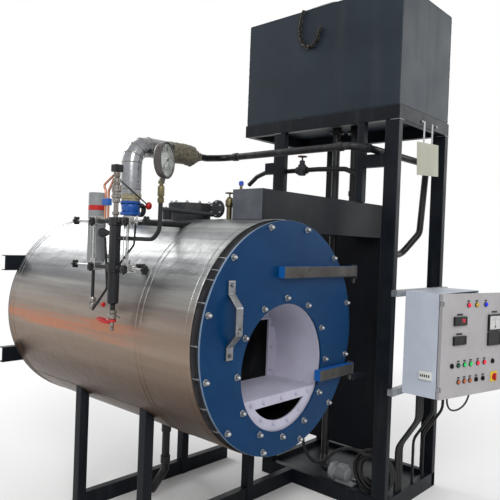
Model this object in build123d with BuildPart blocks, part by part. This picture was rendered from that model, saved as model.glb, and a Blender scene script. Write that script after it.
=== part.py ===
from build123d import *
import os
from math import cos, radians, sin, sqrt, tan

os.makedirs("parts", exist_ok=True)

# A packaged steam boiler with a hinged front door, its feed tank on a stand and its control panel.
# The origin is on the floor, under the boiler's axis, at the middle of the front cross beam.
# X runs across the front to the right, Y from the front door to the rear, Z up.

# Boiler drum and its cladding
axis_z = 1195
face_y = -607
clad_radius = 622
clad_sheet = 2
insulation_t = 48
clad_front_gap = 60
clad_front_length = 385
clad_length = 1790
shell_wall = 10
shell_set_back = 40
tube_plate = 16
fit_gap = 0.3

shell_radius = clad_radius - clad_sheet - insulation_t
clad_front_y = face_y + clad_front_gap
clad_seam_y = clad_front_y + clad_front_length
clad_rear_y = clad_front_y + clad_length
drum_top_z = axis_z + clad_radius

# Front door
door_inset = 5
door_plate_t = 12
door_gap = 5
flange_inset = 10
throat_radius = 335
throat_wall = 8
throat_depth = 330
water_space = 60

door_radius = clad_radius - door_inset
flange_radius = clad_radius - flange_inset
throat_drop = shell_radius - shell_wall - water_space - throat_radius - throat_wall
throat_z = axis_z - throat_drop

# Furnace behind the throat
fire_opening_w = 490
fire_opening_rise = 200
shelf_drop = 141
shelf_t = 8
ash_frame_t = 12
ash_frame_w = 55
ash_opening_drop = 50
furnace_end_gap = 160
furnace_wall = 10
furnace_end_t = 12

shelf_z = throat_z - shelf_drop
furnace_end_y = clad_rear_y - furnace_end_gap

# Door hinge
pin_side_gap = 5
pin_front_gap = 14
pin_radius = 9
pin_play = 0.3
knuckle_radius = 20
arm_height = 60
arm_depth = 42
arm_neck = 32
upper_arm_rise = 345
lower_arm_drop = 240
upper_arm_length = 667
lower_arm_length = 318
lug_t = 12
lug_gap = 0.5
lug_root = 50
gusset_reach = 182
gusset_height = 52
gusset_point_drop = 33
gusset_t = 8

pin_x = door_radius + pin_side_gap
pin_y = face_y - pin_front_gap
arm_end_x = pin_x - arm_neck
upper_arm_z = axis_z + upper_arm_rise
lower_arm_z = axis_z - lower_arm_drop

# Boiler stand
leg_x = 422
leg_size = 60
leg_wall = 5
front_leg_y = 0
rear_leg_y = 640
beam_height = 98
beam_width = 50
section_wall = 5

# Feed tank and its stand
stand_side_gap = 246
stand_width = 727
stand_set_forward = 145
stand_length = 1008
post_y = 97
post_x = 50
tray_rise = 1300
tray_height = 88
tray_wall = 50
tank_length = 1300
tank_height = 760
tank_wall = 6
tank_inset = 8

stand_left = clad_radius + stand_side_gap
stand_right = stand_left + stand_width
stand_front = face_y - stand_set_forward
stand_rear = stand_front + stand_length
tray_z = axis_z + tray_rise
tank_base_z = tray_z + tray_height
tank_top_z = tank_base_z + tank_height
tank_rear = stand_front + tank_length

# Flue duct and flue casing
duct_overhang = 90
duct_set_back = 120
duct_depth = 220
duct_height = 226
duct_sink = 64
casing_side_gap = 299
casing_width = 240
casing_depth = 640
casing_drop = 935

duct_left = -duct_overhang
duct_front = face_y + duct_set_back
duct_back = duct_front + duct_depth
duct_bottom = drum_top_z - duct_sink
duct_top = duct_bottom + duct_height
casing_left = stand_left + casing_side_gap
casing_right = casing_left + casing_width
casing_back = duct_front + casing_depth
casing_bottom = axis_z - casing_drop

# Control panel
panel_side_gap = 97
panel_width = 630
panel_height = 640
panel_depth = 220
panel_wall = 3
panel_drop = 415
panel_rail = 40
panel_rail_overhang = 16
panel_rail_inset = 13
lower_rail_inset = 10
panel_door_t = 22
panel_door_gap = 5
panel_door_ajar = 14
panel_door_sheet = 2
panel_door_stile = 20
panel_hinge_inset = 5
panel_pin_radius = 4
panel_pin_height = 60
panel_lug_height = 24
panel_lug_half = 8
panel_lug_gap = 3

panel_left = stand_left + panel_side_gap
panel_right = panel_left + panel_width
panel_back = stand_front - panel_rail
panel_front = panel_back - panel_depth
panel_bottom = axis_z - panel_drop
panel_top = panel_bottom + panel_height
upper_rail_z = panel_top - panel_rail_inset
lower_rail_z = panel_bottom + lower_rail_inset

# Sides of the many-sided bars that stand for small round pipes, for round sheet metal and for pins
pipe_sides = 12
knob_sides = 8
sheet_sides = 24
pin_sides = 16


def solid_box(x_from, x_to, y_from, y_to, z_from, z_to):
    """A plain block between two corners."""
    with BuildPart() as block:
        with BuildSketch(Plane.XY.offset(z_from)):
            with Locations(((x_from + x_to) / 2, (y_from + y_to) / 2)):
                Rectangle(x_to - x_from, y_to - y_from)
        extrude(amount=z_to - z_from)
    return block


def save(piece, label):
    piece.part.label = label
    export_step(piece.part, f"parts/{label}.step")


def upright_tube(x_centre, y_centre, x_size, y_size, wall, z_from, z_to):
    """A rectangular hollow section that stands on end."""
    with BuildPart() as tube:
        with BuildSketch(Plane.XY.offset(z_from)):
            with Locations((x_centre, y_centre)):
                Rectangle(x_size, y_size)
                Rectangle(x_size - 2 * wall, y_size - 2 * wall, mode=Mode.SUBTRACT)
        extrude(amount=z_to - z_from)
    return tube


def beam_along_x(x_from, x_to, y_centre, z_from):
    """A hollow floor beam laid across the plant."""
    with BuildPart() as beam:
        with BuildSketch(Plane.YZ.offset(x_from)):
            with Locations((y_centre, z_from + beam_height / 2)):
                Rectangle(beam_width, beam_height)
                Rectangle(beam_width - 2 * section_wall, beam_height - 2 * section_wall, mode=Mode.SUBTRACT)
        extrude(amount=x_to - x_from)
    return beam


def beam_along_y(x_centre, y_from, y_to, z_from):
    """A hollow floor beam laid along the plant."""
    with BuildPart() as beam:
        with BuildSketch(Plane.XZ.offset(-y_from)):
            with Locations((x_centre, z_from + beam_height / 2)):
                Rectangle(beam_width, beam_height)
                Rectangle(beam_width - 2 * section_wall, beam_height - 2 * section_wall, mode=Mode.SUBTRACT)
        extrude(amount=-(y_to - y_from))
    return beam


def ring_along_y(outer, inner, y_from, y_to, drop=0):
    """A round tube or ring on the boiler's axis, or below it by a drop."""
    with BuildPart() as ring:
        with BuildSketch(Plane.XZ.offset(-y_from)):
            with Locations((0, axis_z)):
                Circle(outer)
            with Locations((0, axis_z - drop)):
                Circle(inner, mode=Mode.SUBTRACT)
        extrude(amount=-(y_to - y_from))
    return ring


# Door plate with its round furnace opening
with BuildPart() as front_door_plate:
    with BuildSketch(Plane.XZ.offset(-face_y)):
        with Locations((0, axis_z)):
            Circle(door_radius)
        with Locations((0, throat_z)):
            Circle(throat_radius, mode=Mode.SUBTRACT)
    extrude(amount=-door_plate_t)
save(front_door_plate, "front_door_plate")

# Bent flat handle on the left of the door
handle_side = 430
handle_rise = 275
handle_drop = 35
handle_foot = 60
handle_stand_off = 62
handle_width = 46
handle_t = 12
handle_bend = 12
handle_x = -handle_side
handle_top = axis_z + handle_rise
handle_bottom = axis_z - handle_drop
with BuildPart() as door_handle:
    with BuildSketch(Plane.YZ.offset(handle_x - handle_width / 2)) as handle_profile:
        with BuildLine() as handle_line:
            foot_y = face_y - handle_t / 2
            bar_y = face_y - handle_stand_off
            FilletPolyline(
                (foot_y, handle_top + handle_foot / 2),
                (foot_y, handle_top - handle_foot / 2),
                (bar_y, handle_top - handle_foot / 2 - handle_stand_off),
                (bar_y, handle_bottom + handle_foot / 2 + handle_stand_off),
                (foot_y, handle_bottom + handle_foot / 2),
                (foot_y, handle_bottom - handle_foot / 2),
                radius=handle_bend,
            )
            offset(amount=handle_t / 2, side=Side.BOTH)
        make_face()
    extrude(amount=handle_width)
save(door_handle, "door_handle")


def hinge_arm(length, centre_z):
    """A door arm: a flat-faced bar whose end carries the knuckle round the pin."""
    start_x = arm_end_x - length
    with BuildPart() as arm:
        with BuildSketch(Plane.XY.offset(centre_z - arm_height / 2)):
            with BuildLine():
                Polyline(
                    (start_x, face_y - fit_gap),
                    (start_x, face_y - arm_depth),
                    (arm_end_x, face_y - arm_depth),
                    (pin_x, pin_y - knuckle_radius),
                    (pin_x, face_y - fit_gap),
                    (arm_end_x, face_y - fit_gap),
                    (start_x, face_y - fit_gap),
                )
            make_face()
            with Locations((pin_x, pin_y)):
                RegularPolygon(knuckle_radius, side_count=sheet_sides)
                RegularPolygon(pin_radius + pin_play, side_count=pin_sides, mode=Mode.SUBTRACT)
        extrude(amount=arm_height)
    return arm


with BuildPart() as hinge_arms:
    add(hinge_arm(upper_arm_length, upper_arm_z).part)
    add(hinge_arm(lower_arm_length, lower_arm_z).part)
save(hinge_arms, "hinge_arms")

# Fixed lugs under the knuckles, reaching back to the flange ring
flange_front = face_y + door_plate_t + door_gap
flange_back = flange_front + tube_plate


def hinge_lug(arm_z):
    """A flat lug with a round nose, welded to the edge of the front tube plate."""
    lug_top = arm_z - arm_height / 2 - lug_gap
    near_z = min(abs(lug_top - axis_z), abs(lug_top - lug_t - axis_z))
    root_x = sqrt(flange_radius**2 - near_z**2) + fit_gap
    with BuildPart() as lug:
        with BuildSketch(Plane.XY.offset(lug_top - lug_t)):
            with BuildLine():
                Polyline(
                    (root_x, flange_front),
                    (pin_x - knuckle_radius, pin_y),
                    (pin_x + knuckle_radius, pin_y),
                    (pin_x + knuckle_radius, flange_front),
                    (root_x + lug_root, flange_back),
                    (root_x, flange_back),
                    (root_x, flange_front),
                )
            make_face()
            with Locations((pin_x, pin_y)):
                RegularPolygon(knuckle_radius, side_count=sheet_sides)
                RegularPolygon(pin_radius + pin_play, side_count=pin_sides, mode=Mode.SUBTRACT)
        extrude(amount=lug_t)
    return lug


with BuildPart() as hinge_lugs:
    add(hinge_lug(upper_arm_z).part)
    add(hinge_lug(lower_arm_z).part)
    gusset_x = pin_x + knuckle_radius
    gusset_top = lower_arm_z - arm_height / 2 - lug_gap
    with BuildSketch(Plane.XZ.offset(-(pin_y - gusset_t / 2))):
        with BuildLine():
            Polyline(
                (gusset_x, gusset_top),
                (gusset_x + gusset_reach, gusset_top - gusset_point_drop),
                (gusset_x, gusset_top - gusset_height),
                (gusset_x, gusset_top),
            )
        make_face()
    extrude(amount=-gusset_t)
save(hinge_lugs, "hinge_lugs")

# Hinge pins with hexagon heads that hang through the knuckles and the lugs
pin_head = 6
pin_head_lip = 6
pin_tail = 30
with BuildPart() as hinge_pins:
    for arm_z in (upper_arm_z, lower_arm_z):
        head_z = arm_z + arm_height / 2 + lug_gap
        with BuildSketch(Plane.XY.offset(head_z)):
            with Locations((pin_x, pin_y)):
                RegularPolygon(pin_radius + pin_head_lip, side_count=6)
        extrude(amount=pin_head)
        with BuildSketch(Plane.XY.offset(head_z)):
            with Locations((pin_x, pin_y)):
                RegularPolygon(pin_radius, side_count=pin_sides)
        extrude(amount=-(arm_height + 2 * lug_gap + lug_t + pin_tail))
save(hinge_pins, "hinge_pins")

# Front tube plate with the round mouth of the throat
front_tube_plate = ring_along_y(flange_radius, throat_radius + throat_wall + fit_gap, flange_front, flange_back,
                                throat_drop)
save(front_tube_plate, "front_tube_plate")

# White throat tube, its back plate with the fire opening, the shelf and the ash frame
throat_front = flange_front
throat_back = face_y + throat_depth
with BuildPart() as throat_lining:
    with BuildSketch(Plane.XZ.offset(-throat_front)):
        with Locations((0, throat_z)):
            Circle(throat_radius + throat_wall)
            Circle(throat_radius, mode=Mode.SUBTRACT)
    extrude(amount=-(throat_back - throat_front))
save(throat_lining, "throat_lining")

fire_opening_top = throat_z + fire_opening_rise
with BuildPart() as throat_back_plate:
    with BuildSketch(Plane.XZ.offset(-throat_back)):
        with Locations((0, throat_z)):
            Circle(throat_radius + throat_wall)
        with Locations((0, (shelf_z + fire_opening_top) / 2)):
            Rectangle(fire_opening_w, fire_opening_top - shelf_z, mode=Mode.SUBTRACT)
    extrude(amount=-shelf_t)
save(throat_back_plate, "throat_back_plate")

shelf_half = sqrt((throat_radius - fit_gap) ** 2 - (shelf_drop + shelf_t) ** 2)
shelf_front = throat_front + ash_frame_t + fit_gap
fire_shelf = solid_box(-shelf_half, shelf_half, shelf_front, throat_back, shelf_z - shelf_t, shelf_z)
save(fire_shelf, "fire_shelf")

with BuildPart() as ash_frame:
    with BuildSketch(Plane.XZ.offset(-throat_front)) as ash_face:
        with Locations((0, throat_z)):
            Circle(throat_radius - fit_gap)
        with Locations((0, shelf_z + throat_radius)):
            Rectangle(2 * throat_radius, 2 * throat_radius, mode=Mode.SUBTRACT)
    extrude(amount=-ash_frame_t)
    with BuildSketch(Plane.XZ.offset(-throat_front)) as ash_hole:
        with Locations((0, throat_z)):
            Circle(throat_radius - ash_frame_w)
        with Locations((0, shelf_z - ash_opening_drop + throat_radius)):
            Rectangle(2 * throat_radius, 2 * throat_radius, mode=Mode.SUBTRACT)
    extrude(amount=-ash_frame_t, mode=Mode.SUBTRACT)
save(ash_frame, "ash_frame")

# Furnace tube behind the throat, closed at its rear end
furnace_front = throat_back + shelf_t
furnace_outer = throat_radius + throat_wall
with BuildPart() as furnace_tube:
    with BuildSketch(Plane.XZ.offset(-furnace_front)):
        with Locations((0, throat_z)):
            Circle(furnace_outer)
    extrude(amount=-(furnace_end_y - furnace_front))
    with BuildSketch(Plane.XZ.offset(-furnace_front)):
        with Locations((0, throat_z)):
            Circle(furnace_outer - furnace_wall)
    extrude(amount=-(furnace_end_y - furnace_front - furnace_end_t), mode=Mode.SUBTRACT)
save(furnace_tube, "furnace_tube")

# Pressure shell and the insulation round it
rear_plate_y = clad_rear_y - shell_set_back
pressure_shell = ring_along_y(shell_radius, shell_radius - shell_wall, flange_back, rear_plate_y)
save(pressure_shell, "pressure_shell")
insulation = ring_along_y(clad_radius - clad_sheet - fit_gap, shell_radius + fit_gap, clad_front_y, rear_plate_y)
save(insulation, "insulation")

# Cladding in two courses that butt at the seam
cladding_front = ring_along_y(clad_radius, clad_radius - clad_sheet, clad_front_y, clad_seam_y)
save(cladding_front, "cladding_front")
cladding_main = ring_along_y(clad_radius, clad_radius - clad_sheet, clad_seam_y, clad_rear_y)
save(cladding_main, "cladding_main")

# Rear cover and the two channels across it
rear_cover_t = 10
with BuildPart() as rear_cover:
    with BuildSketch(Plane.XZ.offset(-(clad_rear_y + fit_gap))):
        with Locations((0, axis_z)):
            Circle(clad_radius)
    extrude(amount=-rear_cover_t)
save(rear_cover, "rear_cover")
channel_height = 100
channel_depth = 50
channel_web = 6
channel_overhang = 30
upper_channel_rise = 300
lower_channel_drop = 310
channel_half = clad_radius + channel_overhang
rear_face_y = clad_rear_y + fit_gap + rear_cover_t


def rear_channel(centre_z):
    """A channel bolted flat across the rear cover, its open side to the back."""
    with BuildPart() as channel:
        with BuildSketch(Plane.YZ.offset(-channel_half)):
            with BuildLine():
                back = rear_face_y + channel_depth
                low = centre_z - channel_height / 2
                high = centre_z + channel_height / 2
                Polyline(
                    (rear_face_y, low),
                    (back, low),
                    (back, low + channel_web),
                    (rear_face_y + channel_web, low + channel_web),
                    (rear_face_y + channel_web, high - channel_web),
                    (back, high - channel_web),
                    (back, high),
                    (rear_face_y, high),
                    (rear_face_y, low),
                )
            make_face()
        extrude(amount=2 * channel_half)
    return channel


with BuildPart() as rear_channels:
    add(rear_channel(axis_z + upper_channel_rise).part)
    add(rear_channel(axis_z - lower_channel_drop).part)
save(rear_channels, "rear_channels")


def leg(x_centre, y_centre):
    """A square hollow leg whose top is cut to the round of the cladding."""
    with BuildPart() as post:
        with BuildSketch(Plane.XY):
            with Locations((x_centre, y_centre)):
                Rectangle(leg_size, leg_size)
                Rectangle(leg_size - 2 * leg_wall, leg_size - 2 * leg_wall, mode=Mode.SUBTRACT)
        extrude(amount=axis_z)
        with BuildSketch(Plane.XZ.offset(-(y_centre - leg_size))):
            with Locations((0, axis_z)):
                Circle(clad_radius + fit_gap)
        extrude(amount=-2 * leg_size, mode=Mode.SUBTRACT)
    return post


with BuildPart() as legs:
    for leg_y in (front_leg_y, rear_leg_y):
        add(leg(-leg_x, leg_y).part)
        add(leg(leg_x, leg_y).part)
save(legs, "legs")


def cross_beam(y_centre):
    """One floor beam with a gap at each leg, so that it butts against their sides."""
    inner = leg_x - leg_size / 2 - fit_gap
    outer = leg_x + leg_size / 2 + fit_gap
    with BuildPart() as beams:
        add(beam_along_x(-inner, inner, y_centre, 0).part)
        add(beam_along_x(outer, stand_left - fit_gap, y_centre, 0).part)
    return beams


# Cross beams between the legs, running on to the tank stand
with BuildPart() as cross_beams:
    add(cross_beam(front_leg_y).part)
    add(cross_beam(rear_leg_y).part)
save(cross_beams, "cross_beams")

# Tank stand: base beams, deck and posts
left_beam_x = stand_left + beam_width / 2
right_beam_x = stand_right - beam_width / 2
inner_left = stand_left + beam_width + fit_gap
inner_right = stand_right - beam_width - fit_gap
with BuildPart() as base_beams:
    add(beam_along_y(left_beam_x, stand_front, stand_rear, 0).part)
    add(beam_along_y(right_beam_x, stand_front, stand_rear, 0).part)
    add(beam_along_x(inner_left, inner_right, stand_front + beam_width / 2, 0).part)
    add(beam_along_x(inner_left, inner_right, stand_rear - beam_width / 2, 0).part)
save(base_beams, "base_beams")

deck_t = 4
deck_drop = 40
deck_z = beam_height - deck_drop
deck = solid_box(inner_left, inner_right, stand_front + beam_width + fit_gap, stand_rear - beam_width - fit_gap,
                 deck_z, deck_z + deck_t)
save(deck, "deck_plate")

post_bottom = beam_height + fit_gap
with BuildPart() as stand_posts:
    for post_centre_x in (stand_left + post_x / 2, stand_right - post_x / 2):
        for post_centre_y in (stand_front + post_y / 2, stand_rear - post_y / 2):
            add(
                upright_tube(post_centre_x, post_centre_y, post_x, post_y, section_wall, post_bottom,
                             tray_z - fit_gap).part
            )
save(stand_posts, "stand_posts")

# Feed tank: a tray frame, a floor, four walls and a top
with BuildPart() as tank_tray:
    with BuildSketch(Plane.XY.offset(tray_z)):
        with Locations(((stand_left + stand_right) / 2, (stand_front + tank_rear) / 2)):
            Rectangle(stand_width, tank_length)
            Rectangle(stand_width - 2 * tray_wall, tank_length - 2 * tray_wall, mode=Mode.SUBTRACT)
    extrude(amount=tray_height)
save(tank_tray, "tank_tray")

tank_x0 = stand_left + tank_inset
tank_x1 = stand_right - tank_inset
tank_y0 = stand_front + tank_inset
tank_y1 = tank_rear - tank_inset
save(solid_box(tank_x0, tank_x1, tank_y0, tank_y1, tank_base_z, tank_base_z + tank_wall), "tank_floor")
with BuildPart() as tank_walls:
    with BuildSketch(Plane.XY.offset(tank_base_z + tank_wall)):
        with Locations(((tank_x0 + tank_x1) / 2, (tank_y0 + tank_y1) / 2)):
            Rectangle(tank_x1 - tank_x0, tank_y1 - tank_y0)
            Rectangle(tank_x1 - tank_x0 - 2 * tank_wall, tank_y1 - tank_y0 - 2 * tank_wall, mode=Mode.SUBTRACT)
    extrude(amount=tank_height - 2 * tank_wall)
save(tank_walls, "tank_walls")
save(solid_box(tank_x0, tank_x1, tank_y0, tank_y1, tank_top_z - tank_wall, tank_top_z), "tank_top")

# Flue duct from the top of the boiler to the flue casing
with BuildPart() as flue_duct:
    with BuildSketch(Plane.YZ.offset(duct_left)):
        with Locations(((duct_front + duct_back) / 2, (duct_bottom + duct_top) / 2)):
            Rectangle(duct_depth, duct_top - duct_bottom)
    extrude(amount=casing_left - fit_gap - duct_left)
    with BuildSketch(Plane.XZ.offset(-duct_front)):
        with Locations((0, axis_z)):
            Circle(clad_radius + fit_gap)
    extrude(amount=-duct_depth, mode=Mode.SUBTRACT)
save(flue_duct, "flue_duct")
casing = solid_box(casing_left, casing_right, duct_front, casing_back, casing_bottom, duct_top)
save(casing, "flue_casing")

# Two rails across the front posts that carry the control panel
panel_rail_start = stand_left - panel_rail_overhang
with BuildPart() as panel_rails:
    for rail_z in (upper_rail_z, lower_rail_z):
        with BuildSketch(Plane.YZ.offset(panel_rail_start)):
            with Locations(((panel_back + stand_front) / 2, rail_z)):
                Rectangle(panel_rail, panel_rail)
        extrude(amount=stand_right - panel_rail_start)
save(panel_rails, "panel_rails")

# Control panel: an open box
with BuildPart() as panel_box:
    add(solid_box(panel_left, panel_right, panel_front, panel_back, panel_bottom, panel_top).part)
    add(
        solid_box(panel_left + panel_wall, panel_right - panel_wall, panel_front, panel_back - panel_wall,
                  panel_bottom + panel_wall, panel_top - panel_wall).part,
        mode=Mode.SUBTRACT,
    )
save(panel_box, "panel_box")

# Fixed lugs and pins on the left edge of the box, which the door turns on
panel_pin_x = panel_left + panel_hinge_inset
panel_pin_y = panel_front - panel_door_gap - panel_door_t / 2
panel_lug_z = (panel_bottom + panel_pin_height, panel_top - panel_pin_height)
with BuildPart() as panel_hinges:
    for lug_z in panel_lug_z:
        add(
            solid_box(panel_left, panel_pin_x + panel_lug_half, panel_pin_y, panel_front,
                      lug_z - panel_lug_height / 2, lug_z + panel_lug_height / 2).part
        )
        with BuildSketch(Plane.XY.offset(lug_z)):
            with Locations((panel_pin_x, panel_pin_y)):
                RegularPolygon(panel_pin_radius, side_count=pin_sides)
        extrude(amount=panel_lug_height, both=True)
save(panel_hinges, "panel_hinges")

# Panel door: a folded sheet with a closed hinge stile, notched round the lugs and standing ajar
door_front_y = panel_front - panel_door_gap - panel_door_t
door_back_y = panel_front - panel_door_gap
with BuildPart() as panel_door:
    add(solid_box(panel_left, panel_right, door_front_y, door_back_y, panel_bottom, panel_top).part)
    add(
        solid_box(panel_left + panel_door_stile, panel_right - panel_door_sheet, door_front_y + panel_door_sheet,
                  door_back_y, panel_bottom + panel_door_sheet, panel_top - panel_door_sheet).part,
        mode=Mode.SUBTRACT,
    )
    for lug_z in panel_lug_z:
        notch_half = panel_lug_height / 2 + panel_lug_gap
        notch_x = panel_pin_x + panel_lug_half + panel_lug_gap
        add(
            solid_box(panel_left, notch_x, door_front_y, door_back_y, lug_z - notch_half, lug_z + notch_half).part,
            mode=Mode.SUBTRACT,
        )
        with BuildSketch(Plane.XY.offset(lug_z)):
            with Locations((panel_pin_x, panel_pin_y)):
                RegularPolygon(panel_pin_radius + pin_play, side_count=pin_sides)
        extrude(amount=panel_lug_height + panel_lug_gap, both=True, mode=Mode.SUBTRACT)
panel_hinge_line = Axis((panel_pin_x, panel_pin_y, 0), (0, 0, 1))
panel_door.part = panel_door.part.rotate(panel_hinge_line, -panel_door_ajar)
save(panel_door, "panel_door")

# Cutter with the cladding's outer size, for whatever seats on the drum
with BuildPart() as drum_cutter:
    with BuildSketch(Plane.XZ.offset(-clad_front_y)):
        with Locations((0, axis_z)):
            Circle(clad_radius + fit_gap)
    extrude(amount=-clad_length)


def bar(start, finish, radius, sides=pipe_sides):
    """A straight bar or pipe between two points."""
    reach = Vector(*finish) - Vector(*start)
    with BuildPart() as rod:
        with BuildSketch(Plane(origin=start, z_dir=reach)):
            RegularPolygon(radius, side_count=sides)
        extrude(amount=reach.length)
    return rod


def pipe_run(points, radius, sides=pipe_sides):
    """A pipe through the given points, mitred at each corner."""
    with BuildPart() as pipe:
        with BuildLine() as route:
            Polyline(*points)
        with BuildSketch(Plane(origin=route.line @ 0, z_dir=route.line % 0)):
            RegularPolygon(radius, side_count=sides)
        sweep(path=route.line, transition=Transition.RIGHT)
    return pipe


def ease_corners(points, cut):
    """The same route with its corners cut off, as elbows that turn in two steps."""
    corners = [Vector(*point) for point in points]
    eased = [corners[0]]
    for before, corner, after in zip(corners, corners[1:], corners[2:]):
        eased.append(corner + (before - corner).normalized() * cut)
        eased.append(corner + (after - corner).normalized() * cut)
    eased.append(corners[-1])
    return eased


# Steam riser: a sheet-clad pipe whose bend is made of mitred segments
riser_side = 176
riser_back = 1160
riser_radius = 71
riser_valve_rise = 30
riser_valve_height = 76
riser_cuff_height = 122
riser_straight = 124
riser_bend_radius = 114
riser_bend_steps = 3
riser_reach = 295
riser_x = -riser_side
riser_y = face_y + riser_back
riser_valve_z = drum_top_z + riser_valve_rise
riser_cuff_z = riser_valve_z + riser_valve_height + fit_gap
riser_foot_z = riser_cuff_z + riser_cuff_height + fit_gap
riser_bend_z = riser_foot_z + riser_straight
riser_top_z = riser_bend_z + riser_bend_radius
riser_end_x = riser_x + riser_reach
mitre_turn = radians(90 / riser_bend_steps)
mitre_radius = riser_bend_radius / cos(mitre_turn / 2)
riser_route = [(riser_x, riser_y, riser_foot_z)]
for step in range(riser_bend_steps):
    turn = (step + 1 / 2) * mitre_turn
    mitre_x = riser_x + riser_bend_radius - mitre_radius * cos(turn)
    mitre_z = riser_bend_z + mitre_radius * sin(turn)
    riser_route.append((mitre_x, riser_y, mitre_z))
riser_route.append((riser_end_x, riser_y, riser_top_z))
save(pipe_run(riser_route, riser_radius, sheet_sides), "steam_riser")

# Lagging: the cuff at the riser's foot, and the sleeve that tapers down to the bare pipe
riser_cuff_radius = 64
sleeve_length = 200
sleeve_taper = 92
sleeve_radius = 72
steam_pipe_radius = 24
sleeve_x = riser_end_x + fit_gap
taper_x = sleeve_x + sleeve_length
steam_pipe_x = taper_x + sleeve_taper + fit_gap
with BuildPart() as pipe_lagging:
    add(
        bar((riser_x, riser_y, riser_cuff_z), (riser_x, riser_y, riser_foot_z - fit_gap), riser_cuff_radius,
            sheet_sides).part
    )
    add(bar((sleeve_x, riser_y, riser_top_z), (taper_x, riser_y, riser_top_z), sleeve_radius, sheet_sides).part)
    for end_x, end_radius in ((taper_x, sleeve_radius), (taper_x + sleeve_taper, steam_pipe_radius)):
        with BuildSketch(Plane(origin=(end_x, riser_y, riser_top_z), z_dir=(1, 0, 0))):
            RegularPolygon(end_radius, side_count=sheet_sides)
    loft()
save(pipe_lagging, "pipe_lagging")

# Brackets of the tank stand: the hanger post on the duct, the rail from the near post and a stub behind
hanger_back = 249
hanger_depth = 50
bracket_drop = 293
bracket_height = 82
stub_length = 82
hanger_y = stand_front + hanger_back
bracket_z = tray_z - bracket_drop
bracket_top_z = bracket_z + bracket_height
bracket_right = stand_left + post_x
with BuildPart() as stand_brackets:
    add(
        solid_box(stand_left, bracket_right, hanger_y, hanger_y + hanger_depth, duct_top + fit_gap,
                  tray_z - fit_gap).part
    )
    add(
        solid_box(stand_left, bracket_right, stand_front + post_y + fit_gap, hanger_y - fit_gap, bracket_z,
                  bracket_top_z).part
    )
    add(
        solid_box(stand_left, bracket_right, stand_rear + fit_gap, stand_rear + stub_length, bracket_z,
                  bracket_top_z).part
    )
save(stand_brackets, "stand_brackets")

# Steam pipe: from the lagging, over the bracket, past the right post and down into the flue casing
elbow_cut = 35
steam_pipe_lead = 60
steam_pipe_turn_x = 650
steam_pipe_cross_back = 15
steam_pipe_side_gap = 5
steam_pipe_drop_back = 49
steam_pipe_low_rise = 610
steam_pipe_entry_rise = 446
steam_pipe_entry_back = 152
steam_pipe_entry_run = 115
cross_y = face_y + steam_pipe_cross_back
cross_z = bracket_top_z + steam_pipe_radius + fit_gap
drop_x = stand_right + steam_pipe_side_gap
drop_y = face_y + steam_pipe_drop_back
entry_y = face_y + steam_pipe_entry_back
entry_z = axis_z + steam_pipe_entry_rise
steam_pipe_route = (
    (steam_pipe_x, riser_y, riser_top_z),
    (steam_pipe_x + steam_pipe_lead, riser_y, riser_top_z),
    (steam_pipe_turn_x, riser_y, cross_z),
    (steam_pipe_turn_x, cross_y, cross_z),
    (drop_x, cross_y, cross_z),
    (drop_x, drop_y, axis_z + steam_pipe_low_rise),
    (casing_right + steam_pipe_entry_run, entry_y, entry_z),
    (casing_right + fit_gap, entry_y, entry_z),
)
save(pipe_run(ease_corners(steam_pipe_route, elbow_cut), steam_pipe_radius), "steam_pipe")

# Feed water: the tank's two outlets, and the small pipe that comes forward over the duct
feed_radius = 17
feed_side_gap = 82
feed_elbow_cut = 12
feed_valve_back = 659
feed_valve_half = 45
feed_route = ((1174, 945), (1094, 1004), (1013, 1030), (feed_valve_back + feed_valve_half, 1030))
feed_front_route = ((feed_valve_back - feed_valve_half, 1030), (520, 1030), (292, 1019), (173, 972), (151, 831))
outlet_radius = 25
outlet_nozzle_radius = 32
outlet_flange_radius = 50
outlet_flange_t = 14
near_outlet = (238, 324)
far_outlet = (173, 431)
pump_side_gap = 127
pump_back = 333
pump_base_t = 8
pump_radius = 62
pump_bend_rise = 70
pump_bend_back = 415
feed_x = stand_left + feed_side_gap
pump_x = stand_left + pump_side_gap
pump_y = face_y + pump_back
deck_top_z = deck_z + deck_t
pump_z = deck_top_z + pump_base_t + pump_radius
flange_z = tray_z - outlet_flange_t


def tank_outlet(side, back):
    """A nozzle under the tank with its flange."""
    outlet_x = stand_left + side
    outlet_y = face_y + back
    with BuildPart() as outlet:
        add(
            bar((outlet_x, outlet_y, flange_z), (outlet_x, outlet_y, tank_base_z - fit_gap),
                outlet_nozzle_radius).part
        )
        add(bar((outlet_x, outlet_y, flange_z), (outlet_x, outlet_y, tray_z), outlet_flange_radius).part)
    return outlet


with BuildPart() as feed_pipes:
    rear_points = [(feed_x, face_y + back, axis_z + rise) for back, rise in feed_route]
    add(pipe_run(ease_corners(rear_points, feed_elbow_cut), feed_radius).part)
    front_points = [(feed_x, face_y + back, axis_z + rise) for back, rise in feed_front_route]
    front_points.append((feed_x, front_points[-1][1], duct_top + fit_gap))
    add(pipe_run(ease_corners(front_points, feed_elbow_cut), feed_radius).part)
    add(tank_outlet(*near_outlet).part)
    add(tank_outlet(*far_outlet).part)
    near_x = stand_left + near_outlet[0]
    near_y = face_y + near_outlet[1]
    add(bar((near_x, near_y, duct_top + fit_gap), (near_x, near_y, flange_z - fit_gap), outlet_radius).part)
    far_x = stand_left + far_outlet[0]
    far_y = face_y + far_outlet[1]
    suction_route = (
        (far_x, far_y, flange_z - fit_gap),
        (far_x, far_y, pump_z + pump_bend_rise),
        (pump_x, face_y + pump_bend_back, pump_z),
        (pump_x, pump_y + fit_gap, pump_z),
    )
    add(pipe_run(ease_corners(suction_route, feed_elbow_cut), outlet_radius).part)
save(feed_pipes, "feed_pipes")

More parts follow.
